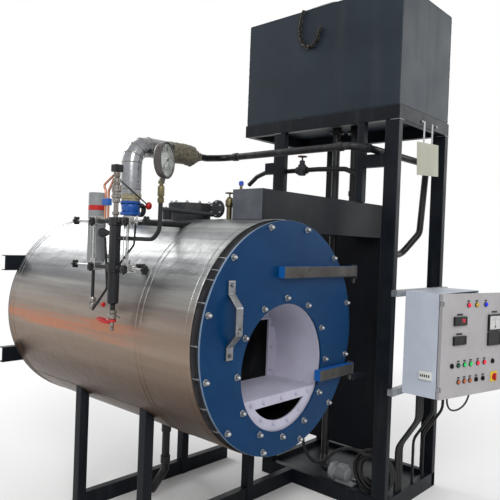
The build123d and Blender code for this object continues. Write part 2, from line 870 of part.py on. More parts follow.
# Feed pump on the deck: pump casing, motor, foot and base in one block
motor_radius = 52
motor_length = 106
pump_casing_t = 34
pump_base_half = 58
pump_base_front = 170
pump_base_grip = 3
pump_foot_half = 33
pump_foot_inset = 12
with BuildPart() as feed_pump:
    casing_front_y = pump_y - pump_casing_t
    motor_front_y = casing_front_y - motor_length
    add(bar((pump_x, casing_front_y, pump_z), (pump_x, pump_y, pump_z), pump_radius).part)
    add(bar((pump_x, motor_front_y, pump_z), (pump_x, casing_front_y, pump_z), motor_radius).part)
    add(
        solid_box(pump_x - pump_base_half, pump_x + pump_base_half, pump_y - pump_base_front,
                  pump_y - pump_foot_inset, deck_top_z, deck_top_z + pump_base_t + pump_base_grip).part
    )
    add(
        solid_box(pump_x - pump_foot_half, pump_x + pump_foot_half, motor_front_y + pump_foot_inset,
                  casing_front_y - pump_foot_inset, deck_top_z + pump_base_t / 2, pump_z - pump_foot_half).part
    )
save(feed_pump, "feed_pump")

# Valves on the boiler: the blue one under the riser with its lever, one on the feed pipe, one on the drum
valve_radius = 65
nozzle_radius = 40
side_flange_radius = 45
side_flange_gap = 4
side_flange_t = 22
lever_radius = 6
lever_stem_side = 46
lever_stem_rise = 70
lever_stem_length = 88
lever_span = ((-196, 123), (30, -19))
feed_valve_radius = 30
feed_bonnet_half = 15
feed_bonnet_height = 72
wheel_t = 8
feed_wheel_radius = 35
feed_stem_radius = 6
feed_stem_height = 104
top_valve_back = 450
top_pipe_radius = 12
top_branch_radius = 9
top_valve_foot = 78
top_valve_height = 45
top_valve_radius = 24
top_wheel_radius = 28
top_wheel_rise = 148
top_branch_back = 362
top_branch_rise = 101
top_cap_radius = 14
top_cap_height = 25
top_branch_height = 92
nozzle_sink = 60
with BuildPart() as boiler_valves:
    add(
        bar((riser_x, riser_y, riser_valve_z - nozzle_sink - riser_valve_rise), (riser_x, riser_y, riser_valve_z),
            nozzle_radius).part
    )
    add(
        bar((riser_x, riser_y, riser_valve_z), (riser_x, riser_y, riser_cuff_z - fit_gap), valve_radius).part
    )
    side_z = riser_valve_z + riser_valve_height / 3
    side_flange_x = riser_x + valve_radius + side_flange_gap
    side_end = (side_flange_x + side_flange_t, riser_y, side_z)
    add(bar((riser_x, riser_y, side_z), side_end, side_flange_radius / 2, knob_sides).part)
    add(bar((side_flange_x, riser_y, side_z), side_end, side_flange_radius).part)
    stem_x = riser_x + lever_stem_side
    stem_z = riser_valve_z + lever_stem_rise
    lever_y = riser_y - lever_stem_length
    add(bar((stem_x, riser_y, stem_z), (stem_x, lever_y, stem_z), lever_radius, knob_sides).part)
    (lever_left, lever_up), (lever_right, lever_down) = lever_span
    add(
        bar((stem_x + lever_left, lever_y, stem_z + lever_up), (stem_x + lever_right, lever_y, stem_z + lever_down),
            lever_radius, knob_sides).part
    )
    feed_valve_y = face_y + feed_valve_back
    feed_valve_z = axis_z + feed_route[-1][1]
    add(
        bar((feed_x, feed_valve_y - feed_valve_half + fit_gap, feed_valve_z),
            (feed_x, feed_valve_y + feed_valve_half - fit_gap, feed_valve_z), feed_valve_radius).part
    )
    add(
        solid_box(feed_x - feed_bonnet_half, feed_x + feed_bonnet_half, feed_valve_y - feed_bonnet_half,
                  feed_valve_y + feed_bonnet_half, feed_valve_z, feed_valve_z + feed_bonnet_height).part
    )
    feed_stem_z = feed_valve_z + feed_stem_height
    add(bar((feed_x, feed_valve_y, feed_valve_z), (feed_x, feed_valve_y, feed_stem_z), feed_stem_radius,
            knob_sides).part)
    add(bar((feed_x, feed_valve_y, feed_stem_z - wheel_t), (feed_x, feed_valve_y, feed_stem_z), feed_wheel_radius,
            knob_sides).part)
    top_y = face_y + top_valve_back
    top_valve_z = drum_top_z + top_valve_foot
    top_wheel_z = drum_top_z + top_wheel_rise
    add(bar((0, top_y, drum_top_z - nozzle_sink), (0, top_y, top_wheel_z), top_pipe_radius, knob_sides).part)
    add(bar((0, top_y, top_valve_z), (0, top_y, top_valve_z + top_valve_height), top_valve_radius, knob_sides).part)
    add(bar((0, top_y, top_wheel_z), (0, top_y, top_wheel_z + wheel_t), top_wheel_radius, knob_sides).part)
    branch_y = face_y + top_branch_back
    branch_z = drum_top_z + top_branch_rise
    cap_z = branch_z + top_branch_height
    add(pipe_run(((0, top_y, branch_z), (0, branch_y, branch_z), (0, branch_y, cap_z)), top_branch_radius,
                 knob_sides).part)
    add(bar((0, branch_y, cap_z), (0, branch_y, cap_z + top_cap_height), top_cap_radius, knob_sides).part)
    add(drum_cutter.part, mode=Mode.SUBTRACT)
save(boiler_valves, "boiler_valves")

# Manhole on the drum with its cover, the studded pad behind it and the upright flange in front
manhole_back = 778
manhole_neck_radius = 120
manhole_neck_height = 58
manhole_cover_radius = 142
manhole_cover_t = 38
stud_pad_back = 975
stud_pad_radius = 50
stud_pad_height = 68
upright_back = 547
upright_rise = 62
upright_radius = 52
upright_half = 10
upright_foot_half = 20
vent_start = (-295, 717)
vent_turn = (-60, 560)
vent_start_rise = 45
vent_end_rise = 28
vent_depth = 100
with BuildPart() as manhole:
    manhole_y = face_y + manhole_back
    neck_top_z = drum_top_z + manhole_neck_height
    add(bar((0, manhole_y, drum_top_z - nozzle_sink), (0, manhole_y, neck_top_z), manhole_neck_radius,
            sheet_sides).part)
    pad_y = face_y + stud_pad_back
    add(bar((0, pad_y, drum_top_z - nozzle_sink), (0, pad_y, drum_top_z + stud_pad_height), stud_pad_radius).part)
    upright_y = face_y + upright_back
    upright_z = drum_top_z + upright_rise
    add(bar((-upright_half, upright_y, upright_z), (upright_half, upright_y, upright_z), upright_radius).part)
    add(
        solid_box(-upright_half, upright_half, upright_y - upright_foot_half, upright_y + upright_foot_half,
                  drum_top_z - nozzle_sink, upright_z).part
    )
    vent_route = (
        (vent_start[0], face_y + vent_start[1], drum_top_z - vent_depth),
        (vent_start[0], face_y + vent_start[1], drum_top_z + vent_start_rise),
        (vent_turn[0], face_y + vent_turn[1], drum_top_z + vent_end_rise),
        (0, face_y + vent_turn[1], drum_top_z + vent_end_rise),
    )
    add(pipe_run(vent_route, top_pipe_radius, knob_sides).part)
    add(drum_cutter.part, mode=Mode.SUBTRACT)
    add(bar((0, manhole_y, neck_top_z), (0, manhole_y, neck_top_z + manhole_cover_t), manhole_cover_radius,
            sheet_sides).part)
save(manhole, "manhole")

# Level column beside the drum, with the arms to its two gauges and its drains
column_stand_off = 78
column_back = 560
column_radius = 29
column_foot_rise = 160
column_top_rise = 595
upper_gauge_rise = 577
lower_gauge_rise = 343
gauge_arm_radius = 12
gauge_block_w = 60
gauge_block_depth = 50
gauge_block_h = 45
left_gauge_back = 728
right_gauge_back = 438
drum_link_radius = 16
foot_neck_length = 33
foot_cock_radius = 22
foot_cock_length = 42
foot_drain_length = 64
foot_pipe_radius = 10
left_drain_back = 744
left_drain_radius = 8
left_drain_bottom_rise = 178
left_nut_radius = 14
left_nut_length = 60
syphon_rise = 490
syphon_offset = 14
syphon_boss_half = 12
syphon_boss_reach = 32
column_x = -(clad_radius + column_stand_off)
column_y = face_y + column_back
column_foot_z = axis_z + column_foot_rise
column_top_z = axis_z + column_top_rise
gauge_rises = (upper_gauge_rise, lower_gauge_rise)
left_gauge_y = face_y + left_gauge_back
right_gauge_y = face_y + right_gauge_back
arm_reach = gauge_block_w / 2 + fit_gap
syphon_x = column_x + syphon_offset
syphon_start_y = column_y - syphon_boss_reach
syphon_z = axis_z + syphon_rise
with BuildPart() as level_column:
    add(bar((column_x, column_y, column_foot_z), (column_x, column_y, column_top_z), column_radius).part)
    for rise in gauge_rises:
        arm_z = axis_z + rise
        add(bar((column_x, right_gauge_y + arm_reach, arm_z), (column_x, left_gauge_y - arm_reach, arm_z),
                gauge_arm_radius, knob_sides).part)
        add(bar((column_x, column_y, arm_z), (0, column_y, arm_z), drum_link_radius).part)
    add(
        solid_box(syphon_x - syphon_boss_half, syphon_x + syphon_boss_half, syphon_start_y, column_y,
                  syphon_z - syphon_boss_half, syphon_z + syphon_boss_half).part
    )
    cock_z = column_foot_z - foot_neck_length
    drain_z = cock_z - foot_cock_length
    add(bar((column_x, column_y, drain_z - foot_drain_length), (column_x, column_y, column_foot_z),
            foot_pipe_radius, knob_sides).part)
    add(bar((column_x, column_y, drain_z), (column_x, column_y, cock_z), foot_cock_radius).part)
    left_drain_y = face_y + left_drain_back
    left_drain_top = axis_z + lower_gauge_rise - gauge_block_h / 2 - fit_gap
    left_drain_z = axis_z + left_drain_bottom_rise
    add(bar((column_x, left_drain_y, left_drain_z), (column_x, left_drain_y, left_drain_top), left_drain_radius,
            knob_sides).part)
    add(bar((column_x, left_drain_y, left_drain_z - left_nut_length), (column_x, left_drain_y, left_drain_z),
            left_nut_radius, knob_sides).part)
    add(drum_cutter.part, mode=Mode.SUBTRACT)
save(level_column, "level_column")

# The two level gauges: cock blocks, the glass between them and the hand wheels on their stems
glass_half = 12
gauge_wheel_radius = 22
gauge_wheel_t = 10
gauge_stem_radius = 5
left_wheel_reach = 195
right_wheel_reach = 129
glass_x = column_x - glass_half


def level_gauge(centre_y, wheel_y):
    """One gauge: two cock blocks, the glass in its guard and two wheels that point away from the column."""
    block_depth = gauge_block_depth / 2
    lower_z = axis_z + lower_gauge_rise
    upper_z = axis_z + upper_gauge_rise
    with BuildPart() as gauge:
        for block_z in (lower_z, upper_z):
            add(
                solid_box(column_x - block_depth, column_x + block_depth, centre_y - gauge_block_w / 2,
                          centre_y + gauge_block_w / 2, block_z - gauge_block_h / 2,
                          block_z + gauge_block_h / 2).part
            )
            wheel_side = 1 if wheel_y > centre_y else -1
            add(bar((column_x, centre_y, block_z), (column_x, wheel_y, block_z), gauge_stem_radius,
                    knob_sides).part)
            add(bar((column_x, wheel_y, block_z), (column_x, wheel_y + wheel_side * gauge_wheel_t, block_z),
                    gauge_wheel_radius, knob_sides).part)
        add(
            solid_box(glass_x - glass_half, glass_x + glass_half, centre_y - glass_half, centre_y + glass_half,
                      lower_z, upper_z).part
        )
    return gauge


with BuildPart() as level_gauges:
    add(level_gauge(left_gauge_y, left_gauge_y + left_wheel_reach).part)
    add(level_gauge(right_gauge_y, right_gauge_y - right_wheel_reach).part)
save(level_gauges, "level_gauges")

# Float chamber between the column and the drum
float_side_gap = 22
float_back = 880
float_radius = 48
float_foot_rise = 352
float_top_rise = 735
float_link_rise = 385
float_x = -(clad_radius - float_side_gap)
float_y = face_y + float_back
with BuildPart() as float_chamber:
    add(bar((float_x, float_y, axis_z + float_foot_rise), (float_x, float_y, axis_z + float_top_rise),
            float_radius).part)
    float_link_z = axis_z + float_link_rise
    add(bar((float_x, float_y, float_link_z), (0, float_y, float_link_z), gauge_arm_radius, knob_sides).part)
    add(drum_cutter.part, mode=Mode.SUBTRACT)
save(float_chamber, "float_chamber")

# Level switch: a black cone under the upper arm, and a clamped pair of tubes on top of it
switch_back = 640
switch_top_rise = 540
switch_bottom_rise = 490
switch_top_radius = 42
switch_bottom_radius = 15
switch_tube_gap = 13
switch_tube_radius = 7
switch_tube_rise = 735
clamp_half = 22
clamp_bottom_rise = 655
clamp_height = 35
switch_y = face_y + switch_back
upper_arm_top = axis_z + upper_gauge_rise + gauge_arm_radius + fit_gap
upper_arm_underside = axis_z + upper_gauge_rise - gauge_arm_radius - fit_gap
with BuildPart() as level_switch:
    add(bar((column_x, switch_y, axis_z + switch_top_rise), (column_x, switch_y, upper_arm_underside),
            gauge_arm_radius, knob_sides).part)
    switch_ends = ((switch_top_rise, switch_top_radius), (switch_bottom_rise, switch_bottom_radius))
    for end_rise, end_radius in switch_ends:
        with BuildSketch(Plane(origin=(column_x, switch_y, axis_z + end_rise))):
            RegularPolygon(end_radius, side_count=pipe_sides)
    loft()
    for tube_y in (switch_y - switch_tube_gap, switch_y + switch_tube_gap):
        add(bar((column_x, tube_y, upper_arm_top), (column_x, tube_y, axis_z + switch_tube_rise),
                switch_tube_radius, knob_sides).part)
    clamp_z = axis_z + clamp_bottom_rise
    add(
        solid_box(column_x - clamp_half, column_x + clamp_half, switch_y - clamp_half, switch_y + clamp_half,
                  clamp_z, clamp_z + clamp_height).part
    )
save(level_switch, "level_switch")

# Safety valve on top of the column: nipple, body, bonnet and cap
safety_steps = ((12, 96), (24, 69), (19, 70), (15, 28))
with BuildPart() as safety_valve:
    step_z = column_top_z + fit_gap
    for step_radius, step_height in safety_steps:
        add(bar((column_x, column_y, step_z), (column_x, column_y, step_z + step_height), step_radius,
                knob_sides).part)
        step_z += step_height
save(safety_valve, "safety_valve")

# Pressure gauge on its syphon pipe and cock
dial_back = 213
dial_rise = 858
dial_radius = 88
dial_case_half = 22
dial_turn = 21.4
syphon_radius = 10
syphon_low_back = 275
syphon_turn_back = 226
syphon_turn_rise = 530
gauge_cock_rise = 682
gauge_cock_height = 68
gauge_cock_radius = 16
dial_x = column_x + syphon_offset
dial_y = face_y + dial_back
dial_z = axis_z + dial_rise
syphon_top_z = dial_z - dial_radius - fit_gap
with BuildPart() as gauge_syphon:
    syphon_y = face_y + syphon_turn_back
    syphon_route = (
        (syphon_x, syphon_start_y - fit_gap, syphon_z),
        (syphon_x, face_y + syphon_low_back, syphon_z),
        (syphon_x, syphon_y, axis_z + syphon_turn_rise),
        (syphon_x, syphon_y, syphon_top_z),
    )
    add(pipe_run(syphon_route, syphon_radius, knob_sides).part)
    cock_foot_z = axis_z + gauge_cock_rise
    add(bar((syphon_x, syphon_y, cock_foot_z), (syphon_x, syphon_y, cock_foot_z + gauge_cock_height),
            gauge_cock_radius, knob_sides).part)
save(gauge_syphon, "gauge_syphon")

dial_normal = Vector(sin(radians(dial_turn)), -cos(radians(dial_turn)), 0)
dial_centre = Vector(dial_x, dial_y, dial_z)
pressure_gauge = bar(dial_centre - dial_normal * dial_case_half, dial_centre + dial_normal * dial_case_half,
                     dial_radius, sheet_sides)
save(pressure_gauge, "pressure_gauge")

# Drain pipe under the drum
drain_side = 20
drain_radius = 25
drain_sink = 32
drain_route = ((915, axis_z - clad_radius + drain_sink), (915, 238), (985, 135), (1036, 67))
drain_points = [(-drain_side, face_y + back, height) for back, height in drain_route]
with BuildPart() as drain_pipe:
    add(pipe_run(drain_points, drain_radius).part)
    add(drum_cutter.part, mode=Mode.SUBTRACT)
save(drain_pipe, "drain_pipe")

# Hatch cover on the tank: a low cap with sloping sides at the left edge
hatch_back = 358
hatch_width = 300
hatch_height = 60
hatch_top_width = 90
hatch_y = face_y + hatch_back
hatch_z = tank_top_z + fit_gap
hatch_centre = (tank_x0 + hatch_width / 2, hatch_y + hatch_width / 2)
with BuildPart() as tank_hatch:
    for level_z, level_width in ((hatch_z, hatch_width), (hatch_z + hatch_height, hatch_top_width)):
        with BuildSketch(Plane.XY.offset(level_z)):
            with Locations(hatch_centre):
                Rectangle(level_width, level_width)
    loft()
save(tank_hatch, "tank_hatch")

# Chain of the hatch: links that hang in a loop between two bars on the tank's wall
link_wire = 8
link_play = 0.9
link_width = 36
link_end_half = 11
link_side_gap = 2
chain_links = 17
chain_points = ((625, 838), (648, 757), (648, 677), (622, 609), (578, 577), (530, 585), (495, 627), (476, 691))
chain_x = tank_x0 - link_side_gap - link_width / 2


def link_outline(length, width, end_half):
    """The six corners of a link, widest in the middle and flat at its ends."""
    return (
        (length / 2, end_half), (0, width / 2), (-length / 2, end_half),
        (-length / 2, -end_half), (0, -width / 2), (length / 2, -end_half),
    )


def chain_link(centre, along, across, link_length):
    """One link: a ring of bar in the plane of the two directions."""
    with BuildPart() as link:
        with BuildSketch(Plane(origin=centre, x_dir=along, z_dir=along.cross(across))):
            Polygon(*link_outline(link_length, link_width, link_end_half))
            Polygon(*link_outline(link_length - 2 * link_wire, link_width - 2 * link_wire,
                                  link_end_half - link_side_gap), mode=Mode.SUBTRACT)
        extrude(amount=link_wire / 2, both=True)
    return link


def chain_bar(place):
    """A short square bar on the tank's wall, which an end link hangs on."""
    half = link_wire / 2
    return solid_box(chain_x - link_wire, tank_x0 - fit_gap, place.Y - half, place.Y + half, place.Z - half,
                     place.Z + half)


def joint_play(before, after):
    """How far a link's end stands past its joint, which is more where the chain bends."""
    bend = radians(before.get_angle(after))
    return (link_play + link_wire * sin(bend) / 2) / 2


with BuildPart() as hatch_chain:
    with BuildLine() as chain_line:
        Spline(*[(chain_x, face_y + back, tray_z + rise) for back, rise in chain_points])
    chain_edge = chain_line.edges()[0]
    pitch = chain_edge.length / chain_links
    joints = [chain_edge.position_at(count * pitch, PositionMode.LENGTH) for count in range(chain_links + 1)]
    runs = [(second - first).normalized() for first, second in zip(joints, joints[1:])]
    plays = [joint_play(before, after) for before, after in zip(runs[:1] + runs, runs + runs[-1:])]
    wall = Vector(1, 0, 0)
    for count, along in enumerate(runs):
        first = joints[count] - along * (link_wire + plays[count])
        second = joints[count + 1] + along * (link_wire + plays[count + 1])
        across = wall if count % 2 else along.cross(wall)
        add(chain_link((first + second) / 2, along, across, (second - first).length).part)
    bar_reach = link_wire / 2 + link_play
    add(chain_bar(joints[0] + runs[0] * bar_reach).part)
    add(chain_bar(joints[-1] - runs[-1] * bar_reach).part)
save(hatch_chain, "hatch_chain")

# Plain sign plate that hangs from the tray on two straps
sign_width = 318
sign_height = 216
sign_t = 3
sign_side_gap = 246
sign_drop = 206
sign_tilt = 4
strap_width = 22
strap_insets = (95, 215)
strap_overlap = 40
sign_x = stand_left + sign_side_gap + sign_width / 2
sign_z = tray_z - sign_drop
strap_y = stand_front - fit_gap - sign_t
with BuildPart() as sign_plate:
    with BuildSketch(Plane.XZ.offset(-strap_y)):
        with Locations((sign_x, sign_z)):
            Rectangle(sign_width, sign_height, rotation=sign_tilt)
    extrude(amount=sign_t)
    for inset in strap_insets:
        strap_x = sign_x - sign_width / 2 + inset
        add(
            solid_box(strap_x - strap_width / 2, strap_x + strap_width / 2, strap_y, stand_front - fit_gap, sign_z,
                      tray_z + strap_overlap).part
        )
save(sign_plate, "sign_plate")

# Instruments on the panel door, set on its closed face and then turned with it
# Each row gives the distance from the hinge edge, the height over the drum's axis, and the sizes
lamp_row = ((250, 154), (332, 154), (426, 154))
button_row = tuple((place, -217) for place in (107, 170, 232, 292, 366, 434, 522))
selector_row = tuple((place, -320) for place in (177, 235, 292, 355, 425))
display_rows = ((107, 228, 30, 85), (107, 228, -90, -35))
meter_rows = ((455, 591, -20, 87), (455, 591, -113, -27))
main_switch = (541, -320)
lamp_radius = 12
lamp_height = 18
button_radius = 15
button_height = 12
switch_radius = 30
switch_height = 24
meter_height = 12


def round_instruments(places, radius, height):
    """A row of round lamps or buttons on the closed door."""
    with BuildPart() as row:
        for place, rise in places:
            centre = (panel_left + place, door_front_y - fit_gap, axis_z + rise)
            tip = (panel_left + place, door_front_y - fit_gap - height, axis_z + rise)
            add(bar(centre, tip, radius, knob_sides).part)
    return row


with BuildPart() as panel_instruments:
    add(round_instruments(lamp_row, lamp_radius, lamp_height).part)
    add(round_instruments(button_row + selector_row, button_radius, button_height).part)
    add(round_instruments((main_switch,), switch_radius, switch_height).part)
    for place_from, place_to, rise_from, rise_to in display_rows + meter_rows:
        add(
            solid_box(panel_left + place_from, panel_left + place_to, door_front_y - fit_gap - meter_height,
                      door_front_y - fit_gap, axis_z + rise_from, axis_z + rise_to).part
        )
panel_instruments.part = panel_instruments.part.rotate(panel_hinge_line, -panel_door_ajar)
save(panel_instruments, "panel_instruments")

# Cover with a row of small switches on the left side of the panel
breaker_front = 25
breaker_length = 79
breaker_drop = 305
breaker_height = 52
breaker_t = 10
toggle_count = 5
toggle_size = 8
breaker_y = panel_front + breaker_front
breaker_z = axis_z - breaker_drop
breaker_x = panel_left - fit_gap - breaker_t
with BuildPart() as breaker_cover:
    add(
        solid_box(breaker_x, panel_left - fit_gap, breaker_y, breaker_y + breaker_length, breaker_z,
                  breaker_z + breaker_height).part
    )
    toggle_pitch = breaker_length / (toggle_count + 1)
    for count in range(toggle_count):
        toggle_y = breaker_y + (count + 1) * toggle_pitch
        toggle_z = breaker_z + breaker_height / 2
        add(
            solid_box(breaker_x - toggle_size, breaker_x, toggle_y - toggle_size / 2, toggle_y + toggle_size / 2,
                      toggle_z - toggle_size, toggle_z + toggle_size).part
        )
save(breaker_cover, "breaker_cover")

# Conduits from the panel's underside to the floor frame
conduit_radius = 11
conduit_places = (110, 325, 475)
conduit_set_back = 155
conduit_straight = 185
conduit_lean = 200
conduit_bottom_z = beam_height + fit_gap
conduit_foot_y = stand_front + beam_width / 2
conduit_top_y = panel_front + conduit_set_back
with BuildPart() as panel_conduits:
    for place in conduit_places:
        conduit_x = panel_left + place
        conduit_route = (
            (conduit_x, conduit_top_y, panel_bottom - fit_gap),
            (conduit_x, conduit_top_y, panel_bottom - conduit_straight),
            (conduit_x, conduit_foot_y, panel_bottom - conduit_straight - conduit_lean),
            (conduit_x, conduit_foot_y, conduit_bottom_z),
        )
        add(pipe_run(conduit_route, conduit_radius, knob_sides).part)
save(panel_conduits, "panel_conduits")


def cord_tube(points, width):
    """A cord's tube: straight runs joined by arcs as large as the runs allow, with its bend radii printed."""
    corners = [Vector(*point) for point in points]
    radii = []
    for before, corner, after in zip(corners, corners[1:], corners[2:]):
        turn = radians((corner - before).get_angle(after - corner))
        shorter = min((corner - before).length, (after - corner).length)
        radii.append(cord_arc_share * shorter / tan(turn / 2))
    print("cord radii", [round(radius) for radius in radii])
    with BuildPart() as tube:
        with BuildLine() as route:
            FilletPolyline(*points, radius=radii)
        with BuildSketch(Plane(origin=route.line @ 0, z_dir=route.line % 0)):
            Rectangle(width, width)
        sweep(path=route.line)
    route_length = sum(edge.length for edge in route.edges())
    print("cord length", round(route_length), "volume ratio", round(tube.part.volume / (width**2 * route_length), 4))
    return tube


# Loop of cable that hangs under the panel between two glands
cord_arc_share = 0.45
cable_width = 12
gland_radius = 14
gland_length = 18
cable_set_back = 20
cable_points = ((220, 0), (220, -23), (225, -49), (243, -76), (272, -97), (318, -114), (395, -124), (470, -119),
                (525, -103), (560, -79), (583, -50), (590, -23), (590, 0))
cable_y = panel_front + cable_set_back
gland_foot_z = panel_bottom - fit_gap - gland_length
with BuildPart() as panel_glands:
    for place in (cable_points[0][0], cable_points[-1][0]):
        add(bar((panel_left + place, cable_y, gland_foot_z), (panel_left + place, cable_y, panel_bottom - fit_gap),
                gland_radius, knob_sides).part)
save(panel_glands, "panel_glands")
cable_route = [(panel_left + place, cable_y, gland_foot_z + drop) for place, drop in cable_points]
save(cord_tube(cable_route, cable_width), "panel_cable")

# Hose: a coil that stands on the deck beside the near post, and its tail that loops back to the casing
hose_width = 22
coil_side_gap = 132
coil_back = 12
coil_outer_radius = 150
coil_inner_radius = 84
coil_width = 66
coil_x = stand_left + coil_side_gap
coil_y = face_y + coil_back
coil_z = deck_top_z + coil_outer_radius
with BuildPart() as hose_coil:
    with BuildSketch(Plane(origin=(coil_x - coil_width / 2, coil_y, coil_z), z_dir=(1, 0, 0))):
        RegularPolygon(coil_outer_radius, side_count=sheet_sides)
        RegularPolygon(coil_inner_radius, side_count=sheet_sides, mode=Mode.SUBTRACT)
    extrude(amount=coil_width)
save(hose_coil, "hose_coil")

tap_radius = 20
tap_length = 40
tap_back = 548
tap_drop = 700
tail_points = ((35, 548, -700), (110, 547, -716), (182, 542, -768), (222, 532, -848), (228, 508, -936),
               (228, 452, -1002), (228, 380, -1006), (228, 318, -962), (227, 262, -900), (225, 190, -855),
               (220, 116, -838), (216, 68, -846), (206, 32, -858), (188, 12, -866))
tap_y = face_y + tap_back
tap_z = axis_z - tap_drop
tap_end_x = casing_left - fit_gap - tap_length
hose_tap = bar((tap_end_x, tap_y, tap_z), (casing_left - fit_gap, tap_y, tap_z), tap_radius)
save(hose_tap, "hose_tap")
tail_route = [(tap_end_x, tap_y, tap_z)]
tail_route += [(tap_end_x - side, face_y + back, axis_z + rise) for side, back, rise in tail_points]
tail_route.append((coil_x - coil_width / 2 - fit_gap, coil_y, coil_z + (coil_outer_radius + coil_inner_radius) / 2))
save(cord_tube(tail_route, hose_width), "hose_tail")
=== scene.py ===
# %% [markdown]
# # A packaged steam boiler, dressed for its portrait
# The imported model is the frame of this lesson: every body, node and joint comes from it, in metres. Nothing
# in the frame is moved. Each cell either gives a node its finish or models a piece that rides on a body.

# %% Load the frame
from math import atan2, ceil, cos, pi, radians, sin, tan, tau
from random import Random

import bpy
from mathutils import Matrix, Vector, noise


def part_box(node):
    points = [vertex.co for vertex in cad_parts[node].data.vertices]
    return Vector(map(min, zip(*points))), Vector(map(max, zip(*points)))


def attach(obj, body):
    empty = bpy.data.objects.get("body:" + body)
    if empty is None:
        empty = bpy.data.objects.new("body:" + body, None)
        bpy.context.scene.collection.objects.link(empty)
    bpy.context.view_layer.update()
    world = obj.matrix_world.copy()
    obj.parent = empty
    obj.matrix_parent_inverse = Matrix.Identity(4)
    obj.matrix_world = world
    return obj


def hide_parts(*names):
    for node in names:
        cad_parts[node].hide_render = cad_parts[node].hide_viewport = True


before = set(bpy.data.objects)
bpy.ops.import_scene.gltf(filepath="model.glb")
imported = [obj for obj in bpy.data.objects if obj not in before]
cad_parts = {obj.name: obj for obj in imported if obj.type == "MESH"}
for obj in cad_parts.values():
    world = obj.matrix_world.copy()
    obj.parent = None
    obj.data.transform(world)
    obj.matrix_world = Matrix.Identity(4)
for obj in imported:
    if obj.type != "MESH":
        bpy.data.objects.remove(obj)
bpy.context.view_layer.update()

# %% [markdown]
# The camera stands on the floor's left, as high as a person's eyes, and looks across the door to the panel.
# Its place and lens were solved from the round door and the stand's square edges, so they are typed once
# here. The roll is small, but without it the tall stand would lean.

# %% Camera
photo_width = 500
focal_pixels = 578.46
sensor_width = 36
camera_place = Vector((-2.3956, -2.5035, 1.6831))
camera_yaw = radians(47.7907)
camera_pitch = radians(-0.6556)
camera_roll = radians(2.145)


def camera_matrix():
    look = Vector((sin(camera_yaw) * cos(camera_pitch), cos(camera_yaw) * cos(camera_pitch),
                   sin(camera_pitch)))
    level_right = Vector((cos(camera_yaw), -sin(camera_yaw), 0))
    level_up = level_right.cross(look)
    right = level_right * cos(camera_roll) + level_up * sin(camera_roll)
    up = level_up * cos(camera_roll) - level_right * sin(camera_roll)
    turned_frame = Matrix((right, up, -look)).transposed().to_4x4()
    return Matrix.Translation(camera_place) @ turned_frame


camera_data = bpy.data.cameras.new("camera")
camera_data.sensor_width = sensor_width
camera_data.lens = focal_pixels / photo_width * sensor_width
camera = bpy.data.objects.new("camera", camera_data)
bpy.context.scene.collection.objects.link(camera)
camera.matrix_world = camera_matrix()
bpy.context.scene.camera = camera
bpy.context.scene.view_settings.view_transform = "Standard"
print("lens", round(camera_data.lens, 2))

# %% [markdown]
# Every look below is a graph of shader nodes made in code. One helper makes a node and fills its inputs by
# name, the others are the small sums and masks that the looks share.

# %% Shader tools
def feed(tree, socket, value):
    """Gives a socket its value: a number, a tuple or another node's output."""
    if isinstance(value, (int, float, tuple)):
        socket.default_value = value
    else:
        tree.links.new(value, socket)


def set_inputs(tree, node, **values):
    """Fills a node's inputs by their names, with _ for a space."""
    for label, value in values.items():
        feed(tree, node.inputs[label.replace("_", " ")], value)
    return node


def new_node(tree, kind, **values):
    return set_inputs(tree, tree.nodes.new("ShaderNode" + kind), **values)


def math_node(tree, operation, *terms):
    """A sum of two terms, each a number or an output."""
    node = new_node(tree, "Math")
    node.operation = operation
    for socket, value in zip(node.inputs, terms):
        feed(tree, socket, value)
    return node.outputs[0]


def between_levels(tree, value, start, end):
    """Goes smoothly from 0 to 1 as the value goes from start to end."""
    node = new_node(tree, "MapRange", Value=value, From_Min=start, From_Max=end)
    node.interpolation_type = "SMOOTHSTEP"
    return node.outputs["Result"]


def seen_rays(tree):
    """1 for the rays that look, 0 for the rest: the camera's own, a mirrored one and one through glass."""
    path = new_node(tree, "LightPath")
    rays = path.outputs["Is Camera Ray"]
    for kind in ("Is Glossy Ray", "Is Transmission Ray"):
        rays = math_node(tree, "MAXIMUM", rays, path.outputs[kind])
    return rays


def mix_shaders(tree, share, first, second, output):
    """Sends two shaders to the output node, mixed by the share of the second."""
    mixer = new_node(tree, "MixShader")
    for socket, value in zip(mixer.inputs, (share, first.outputs[0], second.outputs[0])):
        tree.links.new(value, socket)
    tree.links.new(mixer.outputs[0], output.inputs["Surface"])


print("shader tools ready")

# %% [markdown]
# A studio is mostly its light. The world is a soft even grey for the paint, and plain white where the
# camera, a glossy ray or glass looks past the plant. The steel then mirrors a white room, and the paint
# isn't flooded. Three large lamps stand in front, at the right and behind, so that no side of the plant is
# left in the dark.

# %% World, floor and lamps
white = (1, 1, 1, 1)
room_light = 0.62
floor_tone = 0.86
floor_roughness = 0.9
floor_size = 60
floor_fade = (3.2, 6.0)
lamp_size = 3.5
lamps = {
    "key": ((-4.2, -4.6, 5.2), 285),
    "side": ((6.0, -4.0, 4.0), 95),
    "back": ((0.5, 7.0, 5.5), 260),
}
aim = Vector((0.5, 0, 1.4))


def build_world():
    world = bpy.data.worlds.new("studio")
    world.use_nodes = True
    tree = world.node_tree
    tree.nodes.clear()
    soft = new_node(tree, "Background", Color=white, Strength=room_light)
    bright = new_node(tree, "Background", Color=white)
    mix_shaders(tree, seen_rays(tree), soft, bright, new_node(tree, "OutputWorld"))
    bpy.context.scene.world = world


def add_lamp(name, place, watts):
    lamp_data = bpy.data.lights.new(name, "AREA")
    lamp_data.size = lamp_size
    lamp_data.energy = watts
    lamp = bpy.data.objects.new(name, lamp_data)
    lamp.location = place
    lamp.rotation_euler = (aim - Vector(place)).to_track_quat("-Z", "Y").to_euler()
    bpy.context.scene.collection.objects.link(lamp)


